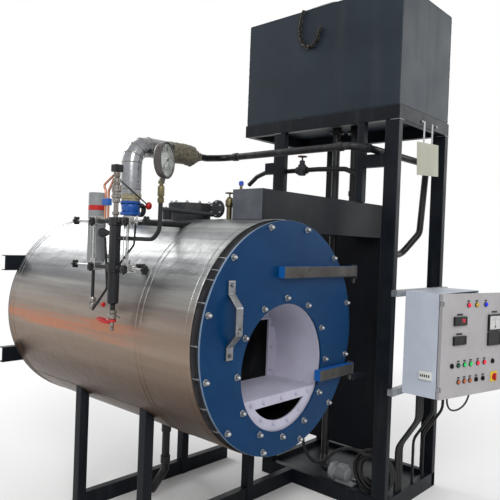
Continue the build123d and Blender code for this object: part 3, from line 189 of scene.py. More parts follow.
def far_white(material):
    """Far from the plant the floor is plain white to the rays that look, so it has no edge."""
    tree = material.node_tree
    place = new_node(tree, "TexCoord")
    away = new_node(tree, "VectorMath")
    away.operation = "LENGTH"
    tree.links.new(place.outputs["Object"], away.inputs[0])
    seen = math_node(tree, "MULTIPLY", seen_rays(tree),
                     between_levels(tree, away.outputs["Value"], *floor_fade))
    mix_shaders(tree, seen, tree.nodes["Principled BSDF"], new_node(tree, "Emission"),
                tree.nodes["Material Output"])


def add_floor():
    """A wide pale floor, staged, that keeps the plant's shadow."""
    bpy.ops.object.select_all(action="DESELECT")
    bpy.ops.mesh.primitive_plane_add(size=floor_size, location=(0, 0, 0))
    floor = bpy.context.object
    floor.name = "floor"
    material = bpy.data.materials.new("floor")
    material.use_nodes = True
    shader = material.node_tree.nodes["Principled BSDF"]
    set_inputs(material.node_tree, shader, Base_Color=(floor_tone, floor_tone, floor_tone, 1),
               Roughness=floor_roughness)
    far_white(material)
    floor.data.materials.append(material)


build_world()
add_floor()
for lamp_name, (lamp_place, lamp_watts) in lamps.items():
    add_lamp(lamp_name, lamp_place, lamp_watts)
print("lamps", len(lamps))

# %% [markdown]
# Everything selected is changed by an operator, and the frame arrives selected, so each tool below starts by
# deselecting all. A finished piece has its place in its mesh and its object at the origin, like a node.

# %% Modelling tools: selection and finishing
weld = 0.00001
upward, along_x, along_y, forward = (0, 0, 1), (1, 0, 0), (0, 1, 0), (0, -1, 0)
smooth_angle = radians(35)
pieces_made = []


def clear_selection():
    if bpy.context.object and bpy.context.object.mode != "OBJECT":
        bpy.ops.object.mode_set(mode="OBJECT")
    bpy.ops.object.select_all(action="DESELECT")


def choose(piece):
    clear_selection()
    piece.select_set(True)
    bpy.context.view_layer.objects.active = piece


def edit(piece, pick="SELECT"):
    choose(piece)
    bpy.ops.object.mode_set(mode="EDIT")
    bpy.ops.mesh.select_all(action=pick)


def leave_edit():
    bpy.ops.object.mode_set(mode="OBJECT")


def tidy_mesh(piece):
    """Merges doubles, then turns every face outwards."""
    edit(piece)
    bpy.ops.mesh.remove_doubles(threshold=weld)
    bpy.ops.mesh.normals_make_consistent(inside=False)
    leave_edit()
    return piece


def matrix_at(place, direction=upward, turn=0):
    """Where a piece goes that was modelled at the origin, standing on Z."""
    lean = Vector(upward).rotation_difference(Vector(direction)).to_matrix().to_4x4()
    return Matrix.Translation(Vector(place)) @ lean @ Matrix.Rotation(turn, 4, "Z")


def lay(piece, place, direction=upward):
    """Puts a piece where it belongs. Its mesh takes the place."""
    piece.data.transform(matrix_at(place, direction))
    return piece


def join(name, parts):
    """Joins several objects into one piece."""
    clear_selection()
    for part in parts:
        part.select_set(True)
    bpy.context.view_layer.objects.active = parts[0]
    if len(parts) > 1:
        bpy.ops.object.join()
    parts[0].name = name
    parts[0].data.name = name
    return parts[0]


def copies(name, pattern, places):
    """One piece of many: the pattern is copied to each place, a matrix, and the copies are joined."""
    made = []
    for place in places:
        copy = pattern.copy()
        copy.data = pattern.data.copy()
        copy.data.transform(place)
        bpy.context.scene.collection.objects.link(copy)
        made.append(copy)
    bpy.data.objects.remove(pattern)
    return join(name, made)


def finish(piece, name, body, material, slot, *nodes):
    """Names a piece, applies its place, gives it its material and lets it ride on its body."""
    choose(piece)
    bpy.ops.object.transform_apply(location=True, rotation=True, scale=True)
    bpy.ops.object.shade_smooth_by_angle(angle=smooth_angle)
    modifier(piece, "WEIGHTED_NORMAL", keep_sharp=True)
    piece.name = name
    piece.data.name = name
    for one in material if isinstance(material, tuple) else (material,):
        piece.data.materials.append(one)
    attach(piece, body)
    if nodes:
        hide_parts(*nodes)
    pieces_made.append(name)
    print(name, "faces", len(piece.data.polygons))
    if not piece.data.polygons:
        raise ValueError(name + " has no faces")
    return piece


def built(name, parts, material, slot, *nodes, body="plant"):
    """A finished piece of several parts."""
    return finish(join(name, parts), name, body, material, slot, *nodes)


def repeated(name, pattern, places, material, slot, body="plant"):
    """A finished piece of many copies."""
    return finish(copies(name, pattern, places), name, body, material, slot)


def material_on(piece, index, chosen):
    """Gives the material with that index to the faces that the test picks by centre and normal."""
    for face in piece.data.polygons:
        if chosen(face.center, face.normal):
            face.material_index = index


# %% [markdown]
# Most round parts on a boiler come off a lathe. Their half outline is drawn from one point with extrude, as
# pairs of radius and height, and spun once round Z. A closed outline gives a ring, an outline that starts and
# ends on the axis gives a solid.

# %% Modelling tools: lathe, block, pipe
elbow_step = radians(15)
flat_angle = radians(1)
bevel_angle = radians(40)
most_of_run = 0.49
open_ended = {"legs", "cross_beams", "base_beams", "stand_posts", "panel_door"}


def turned(outline, sides=32):
    """A round piece about Z from its half outline."""
    clear_selection()
    bpy.ops.mesh.primitive_plane_add(size=0.001, location=(0, 0, 0))
    bpy.ops.object.mode_set(mode="EDIT")
    bpy.ops.mesh.merge(type="CENTER")
    (radius, height), *others = outline
    bpy.ops.transform.translate(value=(radius, 0, height))
    for next_radius, next_height in others:
        step = (next_radius - radius, 0, next_height - height)
        bpy.ops.mesh.extrude_region_move(TRANSFORM_OT_translate={"value": step})
        radius, height = next_radius, next_height
    bpy.ops.mesh.select_all(action="SELECT")
    bpy.ops.mesh.spin(steps=sides, angle=tau, center=(0, 0, 0), axis=upward, use_auto_merge=True)
    leave_edit()
    return tidy_mesh(bpy.context.object)


def rod(radius, length, ease=0.001, sides=24):
    """A plain round bar with eased ends, standing on Z."""
    return turned(((0, 0), (radius - ease, 0), (radius, ease), (radius, length - ease),
                   (radius - ease, length), (0, length)), sides)


def block(low, high, bevel=0.001, segments=2):
    """A block between two corners with rounded edges."""
    low, high = Vector(low), Vector(high)
    clear_selection()
    bpy.ops.mesh.primitive_cube_add(size=1, location=(low + high) / 2, scale=high - low)
    bpy.ops.object.mode_set(mode="EDIT")
    bpy.ops.mesh.bevel(offset=bevel, segments=segments, affect="EDGES")
    leave_edit()
    bpy.ops.object.transform_apply(location=True, rotation=True, scale=True)
    return bpy.context.object


def pipe(points, radius, bend, sides=20):
    """A round pipe: a circle is pushed along each straight run and spun round each bend."""
    corners = [Vector(point) for point in points]
    first_run = corners[1] - corners[0]
    lean = Vector(upward).rotation_difference(first_run).to_euler()
    clear_selection()
    bpy.ops.mesh.primitive_circle_add(vertices=sides, radius=radius, location=corners[0], rotation=lean)
    bpy.ops.object.mode_set(mode="EDIT")
    here = corners[0]
    for before, corner, after in zip(corners, corners[1:], corners[2:]):
        into = (corner - before).normalized()
        out = (after - corner).normalized()
        turn = into.angle(out)
        room = min((corner - before).length, (after - corner).length) * most_of_run
        used = min(bend, room / tan(turn / 2))
        cut = used * tan(turn / 2)
        elbow_start = corner - into * cut
        axis = into.cross(out).normalized()
        centre = elbow_start + axis.cross(into) * used
        bpy.ops.mesh.extrude_region_move(TRANSFORM_OT_translate={"value": elbow_start - here})
        bpy.ops.mesh.spin(steps=max(2, ceil(turn / elbow_step)), angle=-turn, center=centre, axis=axis)
        here = corner + out * cut
    bpy.ops.mesh.extrude_region_move(TRANSFORM_OT_translate={"value": corners[-1] - here})
    bpy.ops.mesh.select_all(action="SELECT")
    bpy.ops.mesh.fill_holes(sides=0)
    leave_edit()
    return tidy_mesh(bpy.context.object)


def modifier(piece, kind, **values):
    """Adds a modifier with its values and applies it."""
    choose(piece)
    added = piece.modifiers.new(kind.lower(), kind)
    for key, value in values.items():
        setattr(added, key, value)
    bpy.ops.object.modifier_apply(modifier=added.name)
    return piece


def dressed(node, bevel, segments=2):
    """A copy of a node's solid, merged, its flat faces cleaned and its edges rounded, kept inside its box.
    The ring-shaped faces of open tubes and of the panel door can't be one face, so those aren't cleaned."""
    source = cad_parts[node]
    copy = source.copy()
    copy.data = source.data.copy()
    copy.parent = None
    copy.matrix_world = Matrix.Identity(4)
    copy.data.materials.clear()
    bpy.context.scene.collection.objects.link(copy)
    tidy_mesh(copy)
    if node not in open_ended:
        edit(copy)
        bpy.ops.mesh.dissolve_limited(angle_limit=flat_angle)
        leave_edit()
    if bevel:
        modifier(copy, "BEVEL", width=bevel, segments=segments, limit_method="ANGLE", angle_limit=bevel_angle)
    low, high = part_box(node)
    for point in copy.data.vertices:
        point.co = [min(max(value, least), most) for value, least, most in zip(point.co, low, high)]
    return copy


def dress_node(node, name, material, slot, bevel=0.002, segments=2, body="plant"):
    """Shows a dressed copy in the place of its node."""
    return finish(dressed(node, bevel, segments), name, body, material, slot, node)


# %% [markdown]
# Screws, nuts and hand wheels repeat all over the plant, so each is modelled once here. A cap nut is a
# hexagon with a turned dome. A hand wheel is a torus with a hub and spokes.

# %% Modelling tools: fasteners and hand wheels
def hexagon(across, height, ease=0.0008):
    clear_selection()
    bpy.ops.mesh.primitive_cylinder_add(vertices=6, radius=across / 2, depth=height,
                                        location=(0, 0, height / 2))
    bpy.ops.object.mode_set(mode="EDIT")
    bpy.ops.mesh.bevel(offset=ease, segments=1, affect="EDGES")
    leave_edit()
    bpy.ops.object.transform_apply(location=True, rotation=True, scale=True)
    return bpy.context.object


def cap_nut(across=0.028, height=0.022):
    """A domed nut on its washer."""
    washer_t = 0.0025
    dome = across * 0.4
    base = height - dome
    washer = rod(across * 0.62, washer_t, 0.0005, 20)
    nut = lay(hexagon(across, base), (0, 0, washer_t))
    arc = [(dome * cos(step * pi / 8), base + dome * sin(step * pi / 8)) for step in range(5)]
    cap = lay(turned([(0, base - dome / 2), (dome, base - dome / 2)] + arc, 16), (0, 0, washer_t))
    return join("cap_nut", [nut, washer, cap])


def plain_nut(across=0.024, height=0.012, stud=0.008):
    """A hexagon nut with the end of its stud."""
    nut = hexagon(across, height)
    end = rod(across * 0.27, height + stud, 0.001, 12)
    return join("plain_nut", [nut, end])


def rivet(radius=0.004, height=0.002):
    """A low domed head of a few faces."""
    return turned(((radius, 0), (radius * 0.8, height * 0.7), (0, height)), 8)


def hand_wheel(radius, rim=0.004):
    """A cast wheel about Z, its hub a little taller than the rim."""
    hub_radius = 0.007
    hub_half = 1.3 * rim
    spokes = 4
    clear_selection()
    bpy.ops.mesh.primitive_torus_add(major_radius=radius - rim, minor_radius=rim, major_segments=32,
                                     minor_segments=8, location=(0, 0, 0))
    parts = [bpy.context.object, lay(rod(hub_radius, 2 * hub_half, 0.001, 16), (0, 0, -hub_half))]
    for count in range(spokes):
        turn = count * tau / spokes
        parts.append(lay(rod(rim * 0.7, radius - rim, 0.0005, 8), (0, 0, 0), (cos(turn), sin(turn), 0)))
    return join("hand_wheel", parts)


# %% [markdown]
# Paint on a working plant is never one colour. It fades in patches, picks up dust that runs down the sides,
# and shows rust where it was knocked. Three small node groups give these masks, and every finish below mixes
# its own colours with them. They read Object coordinates, so a pattern stays on its piece when a door swings.

# %% Effects shared by the finishes
noise_detail = 6
noise_roughness = 0.6


def tone(code):
    """A colour from its usual six-figure code, as the linear values that a shader takes."""
    parts = [int(code[place:place + 2], 16) / 255 for place in (0, 2, 4)]
    linear = [part / 12.92 if part <= 0.04045 else ((part + 0.055) / 1.055) ** 2.4 for part in parts]
    return (*linear, 1)


def new_group(name, inputs, output):
    """A node group with named number inputs and one number output."""
    group = bpy.data.node_groups.new(name, "ShaderNodeTree")
    for label, value in inputs.items():
        group.interface.new_socket(label, in_out="INPUT", socket_type="NodeSocketFloat").default_value = value
    group.interface.new_socket(output, in_out="OUTPUT", socket_type="NodeSocketFloat")
    return group, group.nodes.new("NodeGroupInput"), group.nodes.new("NodeGroupOutput")


def soft_step(tree, value, level, softness):
    """A mask that is 0 under the level and 1 over it, with a soft edge."""
    return between_levels(tree, value, math_node(tree, "SUBTRACT", level, softness),
                          math_node(tree, "ADD", level, softness))


def noise_group(name, stretch):
    """Patches of noise over the piece, stretched along the axes by the given scale."""
    group, given, out = new_group(name, {"Size": 4, "Level": 0.5, "Softness": 0.1, "Shift": 0}, "Mask")
    place = new_node(group, "TexCoord")
    mapping = new_node(group, "Mapping", Vector=place.outputs["Object"], Scale=stretch)
    pattern = new_node(group, "TexNoise", Vector=mapping.outputs["Vector"], Scale=given.outputs["Size"],
                       Detail=noise_detail, Roughness=noise_roughness)
    pattern.noise_dimensions = "4D"
    set_inputs(group, pattern, W=given.outputs["Shift"])
    mask = soft_step(group, pattern.outputs[0], given.outputs["Level"], given.outputs["Softness"])
    set_inputs(group, out, Mask=mask)
    return group


patches = noise_group("patches", (1, 1, 1))
runs = noise_group("runs", (1, 1, 0.09))
brushing = noise_group("brushing", (1, 0.02, 1))


def place_group(tree, group, **values):
    node = tree.nodes.new("ShaderNodeGroup")
    node.node_tree = group
    for label, value in values.items():
        node.inputs[label.capitalize()].default_value = value
    return node.outputs[0]


def blend(tree, mask, low, high, share=1):
    """Mixes two colours, or two sockets, by a mask or by a share of it."""
    if share != 1:
        mask = math_node(tree, "MULTIPLY", mask, share)
    node = new_node(tree, "Mix")
    node.data_type = "RGBA"
    set_inputs(tree, node, Factor=mask)
    colours = [one for one in node.inputs if one.type == "RGBA"]
    for socket, value in zip(colours, (low, high)):
        feed(tree, socket, value)
    return [one for one in node.outputs if one.type == "RGBA"][0]


def between(tree, mask, low, high):
    """A number that follows a mask from low to high."""
    return new_node(tree, "MapRange", Value=mask, To_Min=low, To_Max=high).outputs["Result"]


def start_material(name):
    material = bpy.data.materials.new(name)
    material.use_nodes = True
    return material, material.node_tree, material.node_tree.nodes["Principled BSDF"]


def add_bump(tree, shader, height, strength, distance):
    bump = new_node(tree, "Bump", Strength=strength, Distance=distance, Height=height)
    set_inputs(tree, shader, Normal=bump.outputs["Normal"])


def object_axes(tree):
    """The X, Y and Z of the shaded point, in the piece's own frame."""
    return new_node(tree, "SeparateXYZ", Vector=new_node(tree, "TexCoord").outputs["Object"]).outputs


print("effects", len(bpy.data.node_groups))

# %% [markdown]
# One recipe serves the paints, castings and plastics: a colour that fades in patches, dust that runs down,
# spots of dirt or rust, and a fine grain in the gloss and the surface. Each finish is the recipe with its own
# colours and sizes, so a change to the recipe reaches them all.

# %% The recipe
dust_to_fade = 3
spot_share = 0.8
fade_in_gloss, dust_in_gloss = 0.6, 0.4
grain_depth = 0.0006


def surface(name, colour, faded, spots, dust="8d8a85", gloss=(0.32, 0.5), metal=0.0, shine=0.3,
            fade_size=5.0, spot_size=26.0, spot_level=0.66, dust_level=0.62, dust_share=0.12,
            grain_size=260.0, grain=0.15, shift=0.0):
    material, tree, shader = start_material(name)
    fading = place_group(tree, patches, size=fade_size, level=0.5, softness=0.22, shift=shift)
    dusting = place_group(tree, runs, size=fade_size * dust_to_fade, level=dust_level, softness=0.12,
                          shift=shift + 3)
    spotting = place_group(tree, patches, size=spot_size, level=spot_level, softness=0.05, shift=shift + 7)
    graining = place_group(tree, patches, size=grain_size, level=0.5, softness=0.3, shift=shift)
    paint = blend(tree, fading, tone(colour), tone(faded))
    dusty = blend(tree, dusting, paint, tone(dust), dust_share)
    spotted = blend(tree, spotting, dusty, tone(spots), spot_share)
    shade = math_node(tree, "ADD", math_node(tree, "MULTIPLY", fading, fade_in_gloss),
                      math_node(tree, "MULTIPLY", dusting, dust_in_gloss))
    set_inputs(tree, shader, Base_Color=spotted, Roughness=between(tree, shade, *gloss), Metallic=metal,
               Specular_IOR_Level=shine)
    add_bump(tree, shader, graining, grain, grain_depth)
    return material


# %% [markdown]
# The paints. The door is a deep blue, a little faded in patches, and its hinge arms are a brighter one. The
# frame, tank and duct are a dark blue-grey enamel. The panel is pale on its box and warmer on its door.

# %% Paints
door_blue = surface("door_blue", "012c52", "07345a", "1d3d56", gloss=(0.3, 0.45), shine=0.1, dust_share=0.04,
                    dust_level=0.7, spot_level=0.72)
arm_blue = surface("arm_blue", "0f4d92", "1a5ca0", "2b3f52", gloss=(0.3, 0.45), shine=0.25, dust_share=0.04)
frame_paint = surface("frame_paint", "0c1016", "12171d", "2b211b", gloss=(0.35, 0.6), shine=0.14,
                      dust_share=0.04, shift=2)
tank_paint = surface("tank_paint", "19222a", "232d36", "2c2d31", gloss=(0.4, 0.62), shine=0.2,
                     fade_size=2.2, dust_share=0.04, spot_level=0.7, shift=5)
casing_paint = surface("casing_paint", "0b0e15", "12141a", "221b15", gloss=(0.45, 0.68), shine=0.14,
                       fade_size=3.5, dust_share=0.04, shift=8)
lining_white = surface("lining_white", "b2b1c2", "a5a3b2", "8a8586", dust="8d8890", shine=0.2,
                       gloss=(0.5, 0.7), spot_level=0.74, shift=11)
panel_pale = surface("panel_pale", "b9c0cc", "aeb5c1", "8b8d92", gloss=(0.4, 0.55), spot_level=0.78,
                     grain=0.3, shift=14)
panel_warm = surface("panel_warm", "a8a6a8", "9f9c9d", "7c7a7a", gloss=(0.4, 0.55), spot_level=0.78,
                     grain=0.3, shift=17)
sign_pale = surface("sign_pale", "a7a897", "9b9c8c", "6f6f64", gloss=(0.5, 0.65), spot_level=0.75, shift=20)
pump_paint = surface("pump_paint", "8b8e90", "7b7e80", "4d4641", gloss=(0.4, 0.6), shift=23)
valve_paint = surface("valve_paint", "1c4f9c", "2458a4", "39424e", gloss=(0.3, 0.45), spot_level=0.7,
                      shift=26)
pipe_black = surface("pipe_black", "0d0e11", "15161a", "352a24", gloss=(0.32, 0.55), spot_level=0.68,
                     shift=29)
print("paints", len(bpy.data.materials))

# %% [markdown]
# Bare metal, plastics and rubber use the same recipe with another base. The coloured plastics are for
# buttons, knobs, caps and small handles, and share one gloss and few spots.

# %% Metals, plastics and rubber
bare_steel = surface("bare_steel", "4b4a48", "383532", "2f241d", metal=0.75, gloss=(0.34, 0.55),
                     spot_level=0.6)
handle_steel = surface("handle_steel", "8d9095", "6d6c6c", "4b433c", metal=0.9, gloss=(0.22, 0.4),
                       spot_level=0.62, fade_size=14)
fitting_steel = surface("fitting_steel", "98958f", "6e6863", "5a3f32", metal=0.85, gloss=(0.24, 0.42),
                        spot_level=0.56, fade_size=40, spot_size=110)
# The door's rim: bare cut steel, lightened as a painted highlight.
door_rim_bare_and_highlight = surface("door_rim_bare_and_highlight", "6f8298", "5b6d84", "41546b", metal=0.4, gloss=(0.3, 0.5))
bolt_steel = surface("bolt_steel", "a9abac", "8e8f90", "6b5a4a", metal=0.85, gloss=(0.25, 0.42),
                     spot_level=0.7, fade_size=30, spot_size=80)
riser_sheet = surface("riser_sheet", "9b9da0", "7a7c7f", "5d5c5b", metal=0.95, gloss=(0.16, 0.3),
                      dust_share=0.05, spot_level=0.72, fade_size=9)
dark_iron = surface("dark_iron", "26272a", "303236", "4a3c32", metal=0.2, gloss=(0.5, 0.75), grain=0.5)
zinc = surface("zinc", "a2a6a9", "8d9194", "77716a", metal=0.8, gloss=(0.35, 0.5), fade_size=20)
gauge_steel = surface("gauge_steel", "b4b5b4", "9b9b99", "6e6a64", metal=0.9, gloss=(0.18, 0.35),
                      fade_size=18)
brass = surface("brass", "6f6648", "585340", "3c372a", metal=0.8, gloss=(0.28, 0.45), fade_size=25)
copper = surface("copper", "c08a72", "a8725c", "6a4a3c", metal=0.85, gloss=(0.3, 0.5), fade_size=25)
rusty = surface("rusty", "54402f", "3d342d", "7a4a2c", metal=0.35, gloss=(0.6, 0.8), fade_size=30,
                spot_size=90, spot_level=0.56, grain=0.6)
plastic_black = surface("plastic_black", "0c0d0e", "131416", "2a2a2b", gloss=(0.35, 0.5), spot_level=0.8)
rubber = surface("rubber", "141415", "1c1c1d", "4b4640", gloss=(0.55, 0.72), fade_size=12)


def plastic(name, colour, faded, spots, gloss=(0.3, 0.45)):
    return surface(name, colour, faded, spots, gloss=gloss, spot_level=0.82)


plastic_red = plastic("plastic_red", "b21f1f", "a01818", "701818", (0.25, 0.4))
plastic_blue = plastic("plastic_blue", "2b55c4", "2447a8", "1c2f6a", (0.25, 0.4))
plastic_yellow = plastic("plastic_yellow", "e2c02e", "d0ac22", "8a7418")
plastic_orange = plastic("plastic_orange", "b5673f", "a35a36", "6e3d26")
plastic_dark_green = plastic("plastic_dark_green", "14523a", "104631", "1c3a2c")
strap_white = surface("strap_white", "a9acb0", "9a9da1", "77746c", gloss=(0.45, 0.6))
# The duct's side towards -X, lighter grey: painted light.
duct_lit_side = surface("duct_lit_side", "5d6168", "4a4e55", "4a4038", metal=0.3, gloss=(0.4, 0.6), fade_size=6)
gauge_case_grey = surface("gauge_case_grey", "5a5756", "4a4645", "3a322e", metal=0.7, gloss=(0.25, 0.42),
                          fade_size=15)
plastic_white = surface("plastic_white", "dedfdc", "d2d3cf", "a9a9a5", gloss=(0.35, 0.5), spot_level=0.8)
print("finishes", len(bpy.data.materials))

# %% [markdown]
# The cladding is thin bright sheet, rolled into a drum. Its look comes from long soft light and dark bands
# of painted reflection that run with the sheet, from fine brushing along it, and from shallow dents. The
# bands follow the angle round the drum, which a material can work out from height and side. Low down the
# sheet's colour turns warm and then brown, a painted reflection of the warm ground, with a painted orange
# reflection streak above it on the left. The painted shade in the ash pit under the white lining's shelf is
# made with the same soft steps.

# %% Cladding sheet
drum_low, drum_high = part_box("cladding_main")
drum_axis_z = (drum_low.z + drum_high.z) / 2
drum_radius = (drum_high.x - drum_low.x) / 2
# Stretch of the light and dark bands of painted reflection round the drum.
reflection_band_stretch = (2.2, 0.16)
# Heights where the painted reflection of the warm ground turns the sheet warm, then brown.
warm_reflection_from, warm_reflection_to, brown_reflection_to = 1.52, 1.16, 0.86
# Height, wave and reach of the painted orange reflection streak on the left.
reflection_streak_from, reflection_streak_middle, reflection_streak_to = 1.33, 1.38, 1.43
reflection_streak_wave = 0.35
reflection_streak_front, reflection_streak_full = -0.35, 0.2
side_from, side_to = 0.1, -0.3
shade_edge = 0.012


def sheet_metal(name):
    material, tree, shader = start_material(name)
    across, along, up = object_axes(tree)
    angle = math_node(tree, "ARCTAN2", math_node(tree, "SUBTRACT", up, drum_axis_z), across)
    rolled = new_node(tree, "CombineXYZ", X=math_node(tree, "MULTIPLY", angle, reflection_band_stretch[0]),
                      Y=math_node(tree, "MULTIPLY", along, reflection_band_stretch[1]))
    # Light and dark bands round the drum: painted reflection.
    reflection_bands = new_node(tree, "TexNoise", Vector=rolled.outputs[0], Scale=2.6, Detail=5,
                     Roughness=0.55).outputs[0]
    reflection_banding = soft_step(tree, reflection_bands, 0.5, 0.16)
    dents = place_group(tree, patches, size=3.2, level=0.5, softness=0.35, shift=4)
    brushed = place_group(tree, brushing, size=320, level=0.5, softness=0.3)
    marks = place_group(tree, patches, size=60, level=0.72, softness=0.05, shift=9)
    sheet = blend(tree, reflection_banding, tone("6f7174"), tone("a9aba9"))
    sheet = blend(tree, brushed, sheet, tone("63656a"), 0.25)
    # Warm, then brown, towards the bottom of the drum: painted reflection of the warm ground.
    sheet = blend(tree, between_levels(tree, up, warm_reflection_from, warm_reflection_to), sheet, tone("8c745f"), 0.75)
    sheet = blend(tree, between_levels(tree, up, warm_reflection_to, brown_reflection_to), sheet, tone("4a382c"), 0.85)
    # An orange streak low on the left, waved by the bands: painted reflection.
    level = math_node(tree, "ADD", up, math_node(tree, "MULTIPLY", reflection_bands, reflection_streak_wave))
    orange_reflection = math_node(tree, "MULTIPLY", between_levels(tree, level, reflection_streak_from, reflection_streak_middle),
                       between_levels(tree, level, reflection_streak_to, reflection_streak_middle))
    reach = math_node(tree, "MULTIPLY", between_levels(tree, along, reflection_streak_front, reflection_streak_full),
                      between_levels(tree, across, side_from, side_to))
    sheet = blend(tree, math_node(tree, "MULTIPLY", orange_reflection, reach), sheet, tone("c0714a"), 0.6)
    sheet = blend(tree, marks, sheet, tone("5f5c58"), 0.5)
    set_inputs(tree, shader, Base_Color=sheet, Metallic=0.92, Roughness=between(tree, brushed, 0.3, 0.46))
    height = math_node(tree, "ADD", dents, math_node(tree, "MULTIPLY", brushed, 0.02))
    add_bump(tree, shader, height, 0.5, 0.012)
    return material


def sooty(clean, under, behind):
    """A copy of a finish, painted black below one height and behind one place: painted shade in the ash pit.
    """
    material = clean.copy()
    material.name = clean.name + "_painted_shade"
    tree = material.node_tree
    shader = tree.nodes["Principled BSDF"]
    across, along, up = object_axes(tree)
    # Black below the height and behind the place: painted shade.
    mask = math_node(tree, "MULTIPLY", between_levels(tree, up, under + 0.004, under - 0.002),
                     between_levels(tree, along, behind, behind + shade_edge))
    clean_colour = shader.inputs["Base Color"].links[0].from_socket
    set_inputs(tree, shader, Base_Color=blend(tree, mask, clean_colour, tone("0b0a0b")))
    return material


cladding_sheet = sheet_metal("cladding_sheet")
print("drum radius", round(drum_radius, 3), "axis height", round(drum_axis_z, 3))

# %% [markdown]
# Lagging cloth and mineral wool are soft and dull. The cloth shows the turns of its wrapping and a coarse
# weave, the wool is a mat of fibres. Glass and the dial's pale face complete the set.

# %% Soft finishes, glass and dial
def fibres(name, colour, faded, shade, weave_size, bumpiness, stain_size=9, stain_level=0.6):
    material, tree, shader = start_material(name)
    fading = place_group(tree, patches, size=18, level=0.5, softness=0.25)
    stains = place_group(tree, patches, size=stain_size, level=stain_level, softness=0.1, shift=5)
    weave = place_group(tree, patches, size=weave_size, level=0.5, softness=0.35, shift=2)
    cloth = blend(tree, fading, tone(colour), tone(faded))
    stained = blend(tree, stains, cloth, tone(shade), 0.75)
    set_inputs(tree, shader, Base_Color=stained, Roughness=between(tree, weave, 0.8, 0.95), Sheen_Weight=0.2)
    add_bump(tree, shader, weave, bumpiness, 0.002)
    return material


def clear_glass(name):
    material, tree, shader = start_material(name)
    smears = place_group(tree, patches, size=25, level=0.6, softness=0.2)
    set_inputs(tree, shader, Base_Color=blend(tree, smears, tone("f4f6f4"), tone("e6eae6")),
               Roughness=between(tree, smears, 0.03, 0.12), Transmission_Weight=1.0, IOR=1.45)
    return material


def lit_lens(name, colour, strength):
    """Coloured clear plastic with a small lamp behind it, so it glows a little."""
    material = surface(name, colour, colour, colour, gloss=(0.12, 0.2), dust_level=0.9)
    shader = material.node_tree.nodes["Principled BSDF"]
    set_inputs(material.node_tree, shader, Emission_Color=tone(colour), Emission_Strength=strength)
    return material


lens_red = lit_lens("lens_red", "d8203c", 0.35)
lens_amber = lit_lens("lens_amber", "b8922c", 0.15)
lens_blue = lit_lens("lens_blue", "1a24c8", 0.3)
lens_green = lit_lens("lens_green", "20b45c", 0.3)
lagging_cloth = fibres("lagging_cloth", "a8a283", "8c866b", "6a654e", 300, 0.6, 30)
lagging_worn = fibres("lagging_worn", "827b64", "655f4c", "2b271e", 220, 0.9, 75, 0.5)
mineral_wool = fibres("mineral_wool", "38373c", "2b2a2e", "1c1b1e", 160, 0.9)
glass = clear_glass("glass")
dial_white = surface("dial_white", "c9cac8", "bdbebc", "9a9b98", gloss=(0.3, 0.4), spot_level=0.85)
print("finishes", len(bpy.data.materials))


# %% [markdown]
# Two nodes lie deep inside and keep their own solids: the furnace tube and the pressure shell. They only
# take a finish here. Every other node is replaced by a modelled piece in the cells below.

# %% Finish of the inner nodes
inner_nodes = ("furnace_tube", "pressure_shell")
for node_name in inner_nodes:
    node_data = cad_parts[node_name].data
    node_data.materials.clear()
    node_data.materials.append(dark_iron)
print("inner nodes", inner_nodes)


# %% [markdown]
# The front door is a flat flame-cut disc with a round hole under its middle. A copy of its solid gets
# rounded edges, which catch the light as a cut plate does. Twelve cap nuts go round the rim and twelve
# round the hole, all copied from one nut.

# %% Door plate and its nuts
door_low, door_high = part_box("front_door_plate")
door_front_y = door_low.y
throat_low, throat_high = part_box("throat_lining")
throat_centre_z = (throat_low.z + throat_high.z) / 2
outer_bolt_radius = 0.593
inner_bolt_radius = 0.367
bolts_in_circle = 12


def circle_places(radius, centre_z, y, count, first_turn, direction=forward):
    places = []
    for number in range(count):
        turn = first_turn + number * tau / count
        place = (radius * cos(turn), y, centre_z + radius * sin(turn))
        places.append(matrix_at(place, direction, number))
    return places


door_disc = dress_node("front_door_plate", "door_disc", (door_blue, door_rim_bare_and_highlight), "blue_paint", 0.0025, 3,
                       "front_door")
door_radius = (door_high.x - door_low.x) / 2
# The rim's side faces take the lighter steel: bare cut edge and a painted highlight.
material_on(door_disc, 1, lambda centre, normal: abs(normal.y) < 0.8
            and Vector((centre.x, 0, centre.z - drum_axis_z)).length > door_radius - 0.004)
bolt_places = circle_places(outer_bolt_radius, drum_axis_z, door_front_y, bolts_in_circle, radians(15))
bolt_places += circle_places(inner_bolt_radius, throat_centre_z, door_front_y, bolts_in_circle, 0)
repeated("door_cap_nuts", cap_nut(0.026, 0.024), bolt_places, bolt_steel, "bare_steel", "front_door")

# %% [markdown]
# The handle is a bent flat bar, held by two nuts at each foot. The hinge arms are blue at the sides but
# bare on the front face, where the paint has gone, so their faces are picked by their direction.

# %% Door handle, hinge arms and pins
handle_low, handle_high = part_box("door_handle")
handle_x = (handle_low.x + handle_high.x) / 2
foot_inset = 0.024
handle_bar = dressed("door_handle", 0.004, 3)
foot_bolts = [matrix_at((handle_x, door_front_y - 0.012, foot_z), forward)
              for foot_z in (handle_low.z + foot_inset, handle_high.z - foot_inset)]
handle_nuts = copies("handle_nuts", plain_nut(0.02, 0.009, 0.004), foot_bolts)
built("door_handle_bar", [handle_bar, handle_nuts], handle_steel, "bare_steel", "door_handle",
      body="front_door")

arms = dress_node("hinge_arms", "door_hinge_arms", (arm_blue, bare_steel), "blue_paint", body="front_door")
material_on(arms, 1, lambda centre, normal: normal.y < -0.9)
dress_node("hinge_pins", "door_hinge_pins", bare_steel, "bare_steel", 0.0012)
dress_node("hinge_lugs", "door_hinge_lugs", frame_paint, "frame_grey", 0.0012)

# %% [markdown]
# Behind the door lie the tube plate, the white throat and the fire opening. Studs stand round the opening and
# along the shelf, where the real lining is clamped. A sealing rope fills the joint of the door.

